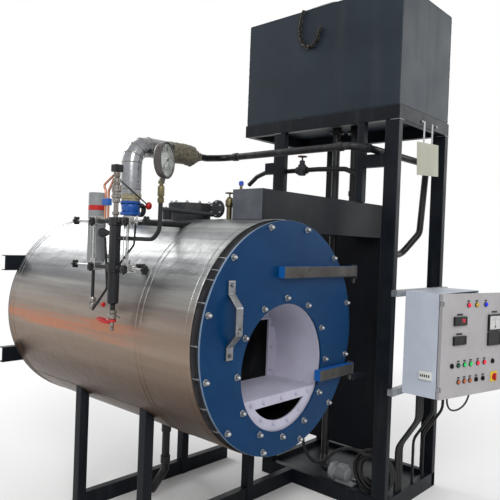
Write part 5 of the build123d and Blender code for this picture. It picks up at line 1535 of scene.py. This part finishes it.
built("gauge_stays",
      [pipe(((column_x, -0.214, 1.762), (column_x, -0.207, 1.654), (column_x, -0.08, 1.545)), 0.005, 0.03,
            10),
       pipe(((column_x - 0.004, 0.033, 1.688), (column_x - 0.004, 0.0, 1.43),
             (column_x - 0.004, 0.122, 1.31)), 0.0065, 0.03, 12)], plastic_black, "black_pipe")

# %% [markdown]
# The float chamber is a pale pot with a domed head. Beside it stand the level switch, a black cone with two
# copper tubes held by a blue clip, and the safety valve, a stack of bright turned fittings under a square
# black cap.

# %% Float chamber, switch and safety valve
float_low, float_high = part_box("float_chamber")
float_x, float_y = -0.6, 0.273
float_outline = ((0, float_low.z), (0.02, float_low.z), (0.043, float_low.z + 0.012),
                 (0.0475, float_low.z + 0.03), (0.0475, 1.84), (0.052, 1.842), (0.052, 1.866),
                 (0.0475, 1.868), (0.0475, float_high.z - 0.028), (0.04, float_high.z - 0.01),
                 (0.02, float_high.z), (0, float_high.z))
built("float_pot", [dressed("float_chamber", 0.001),
                    lay(turned([(min(radius, 0.0482), height) for radius, height in float_outline]),
                        (float_x, float_y, 0))], pump_paint, "pump_grey", "float_chamber")
built("float_band",
      [lay(turned(((0.0478, 1.833), (0.049, 1.834), (0.049, 1.86), (0.0478, 1.861), (0.0478, 1.833))),
           (float_x, float_y, 0))], plastic_red, "pump_grey")
tube_ys = (0.02, 0.046)
cone_outline = ((0, 0), (0.014, 0.001), (0.022, 0.008), (0.0245, 0.02), (0.023, 0.034), (0.009, 0.085),
                (0.008, 0.11), (0, 0.11))
built("level_switch_cone", [lay(turned(cone_outline, 24), (column_x, column_y + 0.133, 1.71), forward)],
      pipe_black, "black_pipe", "level_switch")
tubes = [pipe(((column_x, y, 1.782), (column_x, y, 1.925), (column_x, y + side * 0.022, 1.955),
               (column_x, y * 0.2 - 0.03 + side * 0.005, 2.0)), 0.0062, 0.02, 12)
         for y, side in zip(tube_ys, (-1, 1))]
built("switch_tubes", tubes, copper, "black_pipe")
built("switch_clip", [block((column_x - 0.012, 0.006, 1.85), (column_x + 0.012, 0.062, 1.885), 0.003)],
      valve_paint, "valve_blue")
safety_outline = ((0, 1.789), (0.012, 1.789), (0.012, 1.8), (0.018, 1.803), (0.018, 1.815), (0.012, 1.818),
                  (0.012, 1.86), (0.019, 1.864), (0.019, 1.884), (0.024, 1.888), (0.024, 1.9),
                  (0.0205, 1.904), (0.0205, 1.915), (0.024, 1.919), (0.024, 1.95), (0.016, 1.955),
                  (0.019, 1.962), (0.019, 1.985), (0.014, 1.99), (0.017, 1.997), (0.017, 2.02), (0, 2.024))
built("safety_valve_body", [lay(turned(safety_outline, 24), (column_x, column_y, 0)),
                            lay(hexagon(0.044, 0.02), (column_x, column_y, 1.925))], fitting_steel,
      "gauge_steel", "safety_valve")
safety_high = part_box("safety_valve")[1]
cap = block((column_x - 0.023, column_y - 0.023, 2.016),
            (column_x + 0.023, column_y + 0.023, safety_high.z), 0.004)
built("safety_valve_cap", [cap], plastic_black, "black_plastic")

# %% [markdown]
# The pressure gauge stands on a syphon pipe with a large bend, which keeps steam out of it. Its dial
# carries plain numbers and ticks. The numbers are text made into meshes, laid on the dial and then turned
# with it.

# %% Syphon and pressure gauge
dial_centre = Vector((-0.686, -0.394, 2.053))
gauge_turn = radians(27)
dial_out = Vector((sin(gauge_turn), -cos(gauge_turn), 0))
gauge_radius = 0.086
case_half = 0.021
built("gauge_syphon_pipe", [pipe(((-0.7, -0.07, 1.685), (-0.686, -0.335, 1.685), (-0.686, -0.381, 1.73),
                                  (-0.686, -0.381, 1.87)), 0.0105, 0.06, 18)], pipe_black, "black_pipe",
      "gauge_syphon")
gauge_cock = ((0, 1.855), (0.012, 1.855), (0.0155, 1.86), (0.0155, 1.878), (0.011, 1.882), (0.016, 1.89),
              (0.016, 1.93), (0.012, 1.936), (0.009, 1.94), (0.009, 1.97), (0, 1.972))
built("gauge_cock", [lay(turned(gauge_cock, 24), (-0.686, -0.381, 0)),
                     lay(rod(0.007, 0.022, 0.001, 12), (-0.686, -0.381, 1.912), (0.4, 0.92, 0)),
                     lay(hexagon(0.03, 0.014), (-0.686, -0.381, 1.945))], brass, "gauge_steel")
dial_frame = matrix_at(dial_centre, dial_out)
dial_upright = dial_frame.to_3x3().inverted() @ Vector(upward)
dial_place = dial_frame @ Matrix.Rotation(atan2(dial_upright.y, dial_upright.x) - pi / 2, 4, "Z")


def on_dial(piece):
    piece.data.transform(dial_place)
    return piece


case_outline = ((0, -case_half), (0.07, -case_half), (gauge_radius - 0.008, -case_half + 0.004),
                (gauge_radius - 0.004, -case_half + 0.01), (gauge_radius - 0.004, 0.008),
                (gauge_radius, 0.01), (gauge_radius, case_half - 0.003), (gauge_radius - 0.003, case_half),
                (gauge_radius - 0.009, case_half), (gauge_radius - 0.011, case_half - 0.007),
                (0, case_half - 0.007))
built("gauge_case",
      [on_dial(turned(case_outline, 64)),
       pipe((dial_centre - Vector((0, 0, gauge_radius - 0.006)), (-0.686, -0.387, 1.95)), 0.011, 0.01, 14)],
      gauge_case_grey, "gauge_steel", "pressure_gauge")
dial_face = case_half - 0.0066
figure_ring = 0.045
dial_steps, steps_a_figure = 16, 4
dial_start, dial_sweep, pointer_angle = 225, 270, 222
tick_t = 0.0004
built("gauge_dial",
      [on_dial(turned(((0, dial_face - 0.002), (gauge_radius - 0.0115, dial_face - 0.002),
                       (gauge_radius - 0.0115, dial_face), (0, dial_face)), 64))], dial_white,
      "gauge_steel")


def figures_mesh(text, size, place=(0, 0, 0), thick=0):
    """Plain figures, centred on a place across and facing Z, as a mesh."""
    clear_selection()
    bpy.ops.object.text_add(location=place)
    figures = bpy.context.object.data
    figures.body = text
    figures.size = size
    figures.extrude = thick
    figures.align_x = figures.align_y = "CENTER"
    bpy.ops.object.convert(target="MESH")
    bpy.ops.object.transform_apply(location=True, rotation=True, scale=True)
    return bpy.context.object


def dial_marks():
    """Ticks over three quarters of a turn, a number at each long one, and the pointer."""
    marks = []
    for number in range(dial_steps + 1):
        turn = radians(dial_start - number * dial_sweep / dial_steps)
        long = number % steps_a_figure == 0
        inner = 0.057 if long else 0.062
        tick = block((inner, -0.0007, dial_face), (0.069, 0.0007, dial_face + tick_t), 0.0001, 1)
        tick.data.transform(Matrix.Rotation(turn, 4, "Z"))
        marks.append(tick)
        if long:
            place = (figure_ring * cos(turn), figure_ring * sin(turn), dial_face + tick_t)
            marks.append(figures_mesh(str(number), 0.018, place))
    pointer = block((-0.018, -0.0022, dial_face + 0.002), (0.058, 0.0022, dial_face + 0.003), 0.0004, 1)
    pointer.data.transform(Matrix.Rotation(radians(pointer_angle), 4, "Z"))
    return marks + [pointer, lay(rod(0.006, 0.004, 0.001, 20), (0, 0, dial_face))]


built("gauge_marks", [on_dial(mark) for mark in dial_marks()], plastic_black, "gauge_steel")
built("gauge_glass",
      [on_dial(turned(((0, case_half - 0.003), (gauge_radius - 0.0105, case_half - 0.003),
                       (gauge_radius - 0.0105, case_half - 0.001), (0, case_half - 0.001)), 64))], glass,
      "gauge_steel")


# %% [markdown]
# The stand is welded from square tube, and the tank above it from plate. Their solids have the right form,
# so a copy of each is merged and its edges are rounded: a cut plate or a rolled tube has no sharp edge, and
# the light on that small radius is what makes it read as steel. A line of the table below is one such
# piece.

# %% Stand, tank, duct and casing
steelwork = (
    ("legs", "square_legs", frame_paint, "frame_grey", 0.004),
    ("cross_beams", "cross_tubes", frame_paint, "frame_grey", 0.004),
    ("base_beams", "floor_tubes", frame_paint, "frame_grey", 0.004),
    ("deck_plate", "deck_sheet", frame_paint, "frame_grey", 0.001),
    ("stand_posts", "corner_posts", frame_paint, "frame_grey", 0.004),
    ("stand_brackets", "post_brackets", frame_paint, "frame_grey", 0.002),
    ("tank_tray", "tray_beams", frame_paint, "frame_grey", 0.003),
    ("tank_floor", "tank_bottom", tank_paint, "tank_grey", 0.001),
    ("tank_walls", "tank_sides", tank_paint, "tank_grey", 0.003),
    ("tank_top", "tank_lid", tank_paint, "tank_grey", 0.002),
    ("flue_casing", "flue_housing", casing_paint, "frame_grey", 0.004),
    ("tank_hatch", "hatch_cover", tank_paint, "tank_grey", 0.003),
    ("panel_rails", "panel_bars", zinc, "galvanised", 0.001),
    ("panel_hinges", "panel_pins", zinc, "galvanised", 0.0008),
    ("panel_box", "panel_case", panel_pale, "panel_paint", 0.0025),
    ("hatch_chain", "hatch_links", bare_steel, "rusty_steel", 0),
)
for node_name, piece_name, paint, slot_name, edge in steelwork:
    dress_node(node_name, piece_name, paint, slot_name, edge)
duct = dress_node("flue_duct", "duct_housing", (frame_paint, duct_lit_side), "frame_grey", 0.003)
# The faces towards -X take the lighter grey: painted light on the duct's lit side.
material_on(duct, 1, lambda centre, normal: normal.x < -0.9)

# %% [markdown]
# Welds are what holds it all. A weld is a thin bead with an uneven surface: a rod along the joint whose
# points are moved a little by a noise. Long beads close the tank's corners, short bright ones show at the
# posts' heads.

# %% Welds
tank_low, tank_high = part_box("tank_walls")
post_low, post_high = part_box("stand_posts")
bead_radius = 0.0035
head_bead_radius = 0.0028
bead_step = 0.012
bead_noise = 90


def weld_bead(start, end, radius=bead_radius):
    start, end = Vector(start), Vector(end)
    length = (end - start).length
    count = max(6, round(length / bead_step))
    outline = [(0, 0)] + [(radius * (0.72 + 0.28 * (number % 2)), length * number / count)
                          for number in range(count + 1)] + [(0, length)]
    bead = lay(turned(outline, 8), start, end - start)
    for point in bead.data.vertices:
        spot = point.co * bead_noise
        point.co += Vector((noise.noise(spot), noise.noise(spot + Vector((7, 0, 0))), 0)) * radius * 0.5
    return bead


inset = bead_radius * 1.2
corner_welds = [weld_bead((x, y, tank_low.z + 0.002), (x, y, tank_high.z - 0.002))
                for x in (tank_low.x + inset * 0.4, tank_high.x - inset * 0.4)
                for y in (tank_low.y + inset * 0.4, tank_high.y - inset * 0.4)]
built("tank_corner_welds", corner_welds, tank_paint, "tank_grey")
head_welds = []
post_width = 0.06
for x in (post_low.x, post_high.x - post_width):
    for y in (post_low.y, post_high.y - post_width):
        for ends in (((x, y - 0.001), (x + post_width, y - 0.001)),
                     ((x - 0.001, y), (x - 0.001, y + post_width))):
            head_welds.append(weld_bead((*ends[0], post_high.z - 0.002), (*ends[1], post_high.z - 0.002),
                                        head_bead_radius))
built("post_head_welds", head_welds, zinc, "galvanised")

# %% [markdown]
# A weathered tank has paint runs: thin raised drops below its lower edge, their places drawn from a seeded
# generator. The duct has a seam with rivets, which the real sheet needs.

# %% Paint runs and duct seams
draws = Random(5)
drip_count = 14
drips = []
for number in range(drip_count):
    y = tank_low.y + 0.05 + draws.random() * (tank_high.y - tank_low.y - 0.1)
    length = 0.012 + 0.03 * draws.random()
    top = tank_low.z - 0.002 - 0.03 * draws.random()
    drips.append(lay(turned(((0, 0), (0.0016, 0.002), (0.0011, length * 0.5), (0.0006, length),
                             (0, length)), 8), (tank_low.x - 0.0003, y, top - length)))
built("paint_runs", drips, plastic_white, "tank_grey")
seam_x = duct_low.x + 0.012
duct_rivets = [matrix_at((seam_x, duct_low.y, duct_low.z + 0.03 + number * 0.045), forward)
               for number in range(int((duct_high.z - duct_low.z - 0.06) / 0.045) + 1)]
repeated("duct_rivets", rivet(0.0035, 0.0018), duct_rivets, frame_paint, "frame_grey")

# %% [markdown]
# The bare sign hangs from the tray by two pale straps, each held by a bolt. Only faces above the plate get
# the strap's finish.

# %% Sign, straps and drain
sign_low, sign_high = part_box("sign_plate")
sign = dress_node("sign_plate", "sign_and_straps", (sign_pale, strap_white), "sign_paint", 0.0008)
material_on(sign, 1, lambda centre, normal: centre.z > sign_low.z + 0.24)
strap_inset = 0.06
bolt_rise = 0.03
strap_bolts = [matrix_at((x, tray_low.y - 0.0005, tray_low.z + bolt_rise), forward)
               for x in (sign_low.x + strap_inset, sign_high.x - strap_inset)]
repeated("strap_bolts", plain_nut(0.018, 0.008, 0.004), strap_bolts, bolt_steel, "bare_steel")
built("boiler_drain", [dressed("drain_pipe", 0.0005), collar(0.025, 0.05, (-0.02, 0.308, 0.5), upward),
                       collar(0.025, 0.05, (-0.02, 0.308, 0.3), upward)], pipe_black, "black_pipe",
      "drain_pipe")

# %% [markdown]
# The control panel's door stands a little open, so everything on it is placed in the door's own frame:
# along its width, up its height and out from its face. The door is one dressed sheet with a folded edge.

# %% Panel door
door_hinge_place = Vector((0.970, -1.028, drum_axis_z))
door_ajar = radians(14)
door_face = 0.011
door_frame = Matrix.Translation(door_hinge_place) @ Matrix(((cos(door_ajar), 0, -sin(door_ajar), 0),
                                                            (-sin(door_ajar), 0, -cos(door_ajar), 0),
                                                            (0, 1, 0, 0), (0, 0, 0, 1)))
dress_node("panel_door", "panel_door_sheet", panel_warm, "panel_paint", 0.002, 3, "panel_door")


def on_door(piece, along, rise, out=0):
    """Places a piece that was modelled about the origin and faces Z on the door's face."""
    piece.data.transform(door_frame @ Matrix.Translation((along - 0.005, rise, door_face + out)))
    return piece


def instrument(name, parts, material, *nodes):
    return built(name, parts, material, "black_plastic", *nodes, body="panel_door")


# %% [markdown]
# Lamps, buttons and selectors share one round bezel. The table gives each its place along the row, and its
# colour. A lamp has a domed lens, a button a flat cap, a selector a grip across its face.

# %% Lamps, buttons and selectors
lamp_row, button_row, selector_row = 0.154, -0.217, -0.320
heads = (
    ("lamp", 0.250, lamp_row, "red"),
    ("lamp", 0.332, lamp_row, "amber"),
    ("lamp", 0.426, lamp_row, "blue"),
    ("knob", 0.107, button_row, "black"),
    ("button", 0.170, button_row, "dark"),
    ("button", 0.232, button_row, "green"),
    ("button", 0.292, button_row, "green"),
    ("button", 0.366, button_row, "red"),
    ("button", 0.434, button_row, "red"),
    ("knob", 0.522, button_row, "black"),
    ("button", 0.177, selector_row, "orange"),
    ("button", 0.235, selector_row, "orange"),
    ("button", 0.292, selector_row, "orange"),
    ("knob", 0.355, selector_row, "black"),
    ("knob", 0.425, selector_row, "black"),
)
head_finish = {"red": lens_red, "amber": lens_amber, "blue": lens_blue, "dark": plastic_dark_green,
               "green": lens_green, "orange": plastic_orange, "black": plastic_black}
lens_outline = ((0, 0), (0.0135, 0), (0.0135, 0.008), (0.012, 0.0125), (0.008, 0.0155), (0.004, 0.0167),
                (0, 0.017))
cap_outline = ((0, 0), (0.0125, 0), (0.0125, 0.009), (0.0115, 0.0105), (0, 0.0112))
bezel_outline = ((0.0128, 0), (0.0165, 0), (0.0165, 0.004), (0.015, 0.006), (0.0132, 0.006), (0.0128, 0.005),
                 (0.0128, 0))


def head(kind):
    if kind == "lamp":
        return turned(lens_outline, 24)
    if kind == "button":
        return turned(cap_outline, 24)
    return join("knob", [turned(((0, 0), (0.011, 0), (0.0105, 0.008), (0, 0.0085)), 24),
                         block((-0.0025, -0.0105, 0.006), (0.0025, 0.0105, 0.0155), 0.001)])


for colour, paint in head_finish.items():
    chosen = [on_door(head(kind), along, rise) for kind, along, rise, tint in heads if tint == colour]
    instrument("panel_heads_" + colour, chosen, paint)
instrument("panel_bezels",
           [on_door(turned(bezel_outline, 24), along, rise) for kind, along, rise, tint in heads],
           plastic_black, "panel_instruments")
tags = [on_door(block((-0.0125, 0.0205, 0), (0.0125, 0.0295, 0.0015), 0.0005, 1), along, rise)
        for kind, along, rise, tint in heads if along not in (0.107, 0.522)]
for along, rise in ((0.1675, 0.097), (0.1675, -0.023), (0.523, 0.103), (0.523, -0.012)):
    tags.append(on_door(block((-0.028, -0.006, 0), (0.028, 0.006, 0.0015), 0.0005, 1), along, rise))
instrument("panel_tags", tags, plastic_black)

# %% [markdown]
# The two displays and two meters are boxes with a raised rim round a sunk window. The rim is made by an
# inset and a push of the front face. One meter has a pale face with ticks and a needle, one display shows a
# red number.

# %% Displays and meters
def rimmed(width, height, depth, rim, sunk=0.003):
    """A box that faces Z, its front inset by the rim and pushed in."""
    clear_selection()
    bpy.ops.mesh.primitive_cube_add(size=1, location=(0, 0, depth / 2), scale=(width, height, depth))
    bpy.ops.object.transform_apply(location=True, rotation=False, scale=True)
    case = bpy.context.object
    modifier(case, "BEVEL", width=0.0012, segments=2)
    edit(case, "DESELECT")
    leave_edit()
    front = max(case.data.polygons, key=lambda face: face.normal.z * face.area + face.center.z)
    front.select = True
    bpy.ops.object.mode_set(mode="EDIT")
    bpy.ops.mesh.select_mode(type="FACE")
    bpy.ops.mesh.inset(thickness=rim, depth=0)
    bpy.ops.mesh.inset(thickness=0.0005, depth=-sunk)
    bpy.ops.mesh.select_mode(type="VERT")
    leave_edit()
    return case


display_size = (0.121, 0.055)
meter_sizes = ((0.136, 0.107), (0.136, 0.086))
instrument("panel_displays", [on_door(rimmed(*display_size, 0.014, 0.008), 0.1675, 0.0575),
                              on_door(rimmed(*display_size, 0.014, 0.008), 0.1675, -0.0625)], plastic_black)
instrument("panel_meters", [on_door(rimmed(*meter_sizes[0], 0.014, 0.008), 0.523, 0.0335),
                            on_door(rimmed(*meter_sizes[1], 0.014, 0.007), 0.523, -0.070)], plastic_black)
instrument("display_figures", [on_door(figures_mesh("78", 0.034, thick=0.0002), 0.193, 0.0575, 0.0114)],
           lens_red)
instrument("meter_face",
           [on_door(block((-0.058, -0.0435, 0), (0.058, 0.0435, 0.001), 0.0004, 1), 0.523, 0.0335, 0.0108)],
           dial_white)
meter_pivot = (0.523, 0.0065, 0.0118)
needle_parts = [on_door(block((-0.001, 0, 0), (0.001, 0.046, 0.001), 0.0003, 1), *meter_pivot)]
for number in range(11):
    turn = radians(-40 + 8 * number)
    tick = block((-0.0006, 0.05, 0), (0.0006, 0.057 + 0.003 * (number % 5 == 0), 0.0005), 0.0001, 1)
    tick.data.transform(Matrix.Rotation(turn, 4, "Z"))
    needle_parts.append(on_door(tick, *meter_pivot))
needle_parts.append(on_door(turned(((0, 0), (0.006, 0), (0.006, 0.002), (0, 0.002)), 16), *meter_pivot))
instrument("meter_needle", needle_parts, plastic_black)

# %% [markdown]
# The main switch has a yellow plate and a red handle across it. A few screw heads lie between the
# instruments.

# %% Main switch and screws
switch_along = 0.541
instrument("main_switch_plate",
           [on_door(block((-0.033, -0.033, 0), (0.033, 0.033, 0.005), 0.002), switch_along, selector_row)],
           plastic_yellow)
instrument("main_switch_handle",
           [on_door(turned(((0, 0.004), (0.022, 0.004), (0.02, 0.012), (0, 0.013)), 24), switch_along,
                    selector_row), on_door(block((-0.007, -0.024, 0.009), (0.007, 0.024, 0.021), 0.003),
                                           switch_along, selector_row)], plastic_red)
screw_spots = ((0.26, 0.09), (0.34, 0.09), (0.26, -0.02), (0.34, -0.06), (0.27, -0.15), (0.34, -0.12),
               (0.62, 0.2), (0.62, -0.2))
instrument("panel_screws", [on_door(rivet(0.003, 0.0015), *spot) for spot in screw_spots], zinc)

# %% [markdown]
# The breaker cover on the panel's side is a pale housing with five black toggles. Conduits run down behind
# the panel. Each is a smooth pipe with one rib copied along its straight stretches.

# %% Breaker cover, conduits and glands
breaker_low, breaker_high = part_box("breaker_cover")
toggle_count = 5
toggle_pitch = (breaker_high.y - breaker_low.y - 0.012) / toggle_count
built("breaker_housing", [block(breaker_low, breaker_high, 0.002)], plastic_white,
      "black_plastic", "breaker_cover")
toggles = []
for number in range(toggle_count):
    y = breaker_low.y + 0.006 + toggle_pitch * (number + 0.5)
    toggles.append(block((breaker_low.x - 0.0002, y - toggle_pitch * 0.38, breaker_low.z + 0.016),
                         (breaker_low.x + 0.003, y + toggle_pitch * 0.38, breaker_low.z + 0.034), 0.001, 1))
built("breaker_toggles", toggles, plastic_black, "black_plastic")
conduit_xs = (1.051, 1.075, 1.099, 1.123, 1.290, 1.440)
conduit_radius = 0.0105
conduit_back_y, conduit_front_y = -0.727, -0.857
rib_gap = 0.011
conduit_parts = []
for x in conduit_xs:
    conduit_parts.append(pipe(((x, conduit_front_y, 0.7797), (x, conduit_front_y, 0.6),
                               (x, conduit_back_y, 0.395), (x, conduit_back_y, 0.0985)),
                              conduit_radius * 0.9, 0.12, 14))
    ribs = [matrix_at((x, conduit_front_y, 0.645 + number * rib_gap)) for number in range(12)]
    ribs += [matrix_at((x, conduit_back_y, 0.102 + number * rib_gap)) for number in range(24)]
    rib = turned(((0.0085, -0.002), (conduit_radius, -0.001), (conduit_radius, 0.001), (0.0085, 0.002),
                  (0.0085, -0.002)), 14)
    conduit_parts.append(copies("ribs", rib, ribs))
    conduit_parts.append(lay(hexagon(0.034, 0.012), (x, conduit_front_y, 0.766)))
built("panel_hoses", conduit_parts, plastic_black, "black_plastic", "panel_conduits")
gland_places = [(x, -0.992, 0.7617) for x in (1.185, 1.555)]
gland_outline = ((0, 0), (0.0085, 0), (0.0115, 0.005), (0.0115, 0.009), (0.0095, 0.01), (0.0135, 0.0105),
                 (0.0135, 0.018), (0, 0.018))
built("panel_cable_glands", [lay(turned(gland_outline, 12), place) for place in gland_places], plastic_black,
      "black_plastic", "panel_glands")


# %% [markdown]
# Cords come from their own line. The panel's cable hangs from one gland to the other. The drain hose leaves
# its tap, sags along the casing and ends in a coil on the deck. A NURBS line of order three follows the
# chosen points, and a round section is swept along it. The coil's turns are more points of the same line.

# %% Cords
def line_of(name, points, diameter):
    curve = bpy.data.curves.new(name, "CURVE")
    curve.dimensions = "3D"
    curve.bevel_depth = diameter / 2
    curve.bevel_resolution = 4
    curve.resolution_u = 8
    curve.use_fill_caps = True
    spline = curve.splines.new("NURBS")
    spline.points.add(len(points) - 1)
    for point, place in zip(spline.points, points):
        point.co = (*place, 1)
    spline.order_u = 3
    spline.use_endpoint_u = True
    piece = bpy.data.objects.new(name, curve)
    bpy.context.scene.collection.objects.link(piece)
    return piece


def lay_cord(name, points, diameter, nodes):
    cord = line_of(name, points, diameter)
    cord.data.materials.append(rubber)
    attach(cord, "plant")
    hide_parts(*nodes)
    pieces_made.append(name)
    print(name, "points", len(points))


cable_width = 0.012
cable_points = ((220, 0), (220, -23), (225, -49), (243, -76), (272, -97), (318, -114), (395, -124),
                (470, -119), (525, -103), (560, -79), (583, -50), (590, -23), (590, 0))
cable_line = [(0.965 + place / 1000, -0.992, 0.7617 + drop / 1000) for place, drop in cable_points]
lay_cord("panel_loop_cable", cable_line, cable_width,
         ["panel_cable"])

# %% [markdown]
# The hose is wound in three layers of two turns. Each layer runs across the coil a diameter a turn, then
# steps in by a diameter and runs back. The free end comes out of the middle and lies on the deck with its
# coupling.

# %% Hose
hose_width = 0.022
tap_end = Vector((1.1267, -0.059, 0.495))
tail_points = ((35, 548, -700), (110, 547, -716), (182, 542, -768), (222, 532, -848), (228, 508, -936),
               (228, 452, -1002), (228, 380, -1006), (228, 318, -962), (227, 262, -900), (225, 190, -855),
               (220, 116, -838), (216, 68, -846), (206, 32, -858), (188, 12, -866))
coil_centre = Vector((1.0, -0.595, 0.212))
turn_gap = 0.0226
points_a_turn = 18
layer_turns = 2
lead_in = radians(80)
free_end = ((0.028, 0.03, -0.085), (0.044, 0.06, -0.078), (0.06, 0.09, -0.085), (0.07, 0.118, -0.108),
            (0.074, 0.146, -0.129), (0.075, 0.172, -0.1385))


def coil_point(turn, radius, across):
    return coil_centre + Vector((across, -radius * sin(turn), radius * cos(turn)))


def hose_line():
    points = [tap_end] + [Vector((tap_end.x - side / 1000, -0.607 + back / 1000, 1.195 + rise / 1000))
                          for side, back, rise in tail_points]
    step = tau / points_a_turn
    outer = 0.1385
    turn = 0
    for number in range(1, 5):
        part = number / 4
        turn = lead_in * part
        points.append(coil_point(turn, 0.118 + (outer - 0.118) * part,
                                 -0.052 + (0.052 - turn_gap) * part ** 0.7))
    for layer, (side, count) in enumerate(((1, 37), (-1, 37), (1, 33))):
        radius = outer - layer * turn_gap
        for number in range(count):
            turn += step
            across = side * (-turn_gap + 2 * turn_gap * number / (layer_turns * points_a_turn))
            points.append(coil_point(turn, radius, across))
        for number in range(3 if layer < 2 else 0):
            turn += step
            points.append(coil_point(turn, radius - turn_gap * (number + 1) / 4, side * turn_gap))
    return points + [coil_centre + Vector(offset) for offset in free_end]


hose_points = hose_line()
print("hose ends at", [round(value, 3) for value in hose_points[-1]])
built("hose_tap_body",
      [lay(turned(((0, 0), (0.0125, 0), (0.0125, 0.01), (0.0195, 0.012), (0.0195, 0.026), (0.015, 0.028),
                   (0.015, 0.0397), (0, 0.0397)), 20), tap_end, along_x),
       lay(rod(0.004, 0.018, 0.001, 10), tap_end + Vector((0.019, 0, 0.016)), upward)], gauge_steel,
      "gauge_steel", "hose_tap")
coupling_outline = ((0, -0.012), (0.0113, -0.012), (0.0114, 0.004), (0.0098, 0.006), (0.0098, 0.016),
                    (0.0114, 0.018), (0.0114, 0.034), (0.008, 0.035), (0.0075, 0.02), (0, 0.019))
coupling = built("hose_coupling", [lay(turned(coupling_outline, 20), hose_points[-1], along_y)], zinc,
                 "gauge_steel")
lay_cord("drain_hose", hose_points, hose_width,
         ["hose_tail", "hose_coil"])

# %% [markdown]
# The last cell counts the pieces made and closes the lesson.

# %% Count of pieces
print("pieces", len(pieces_made))
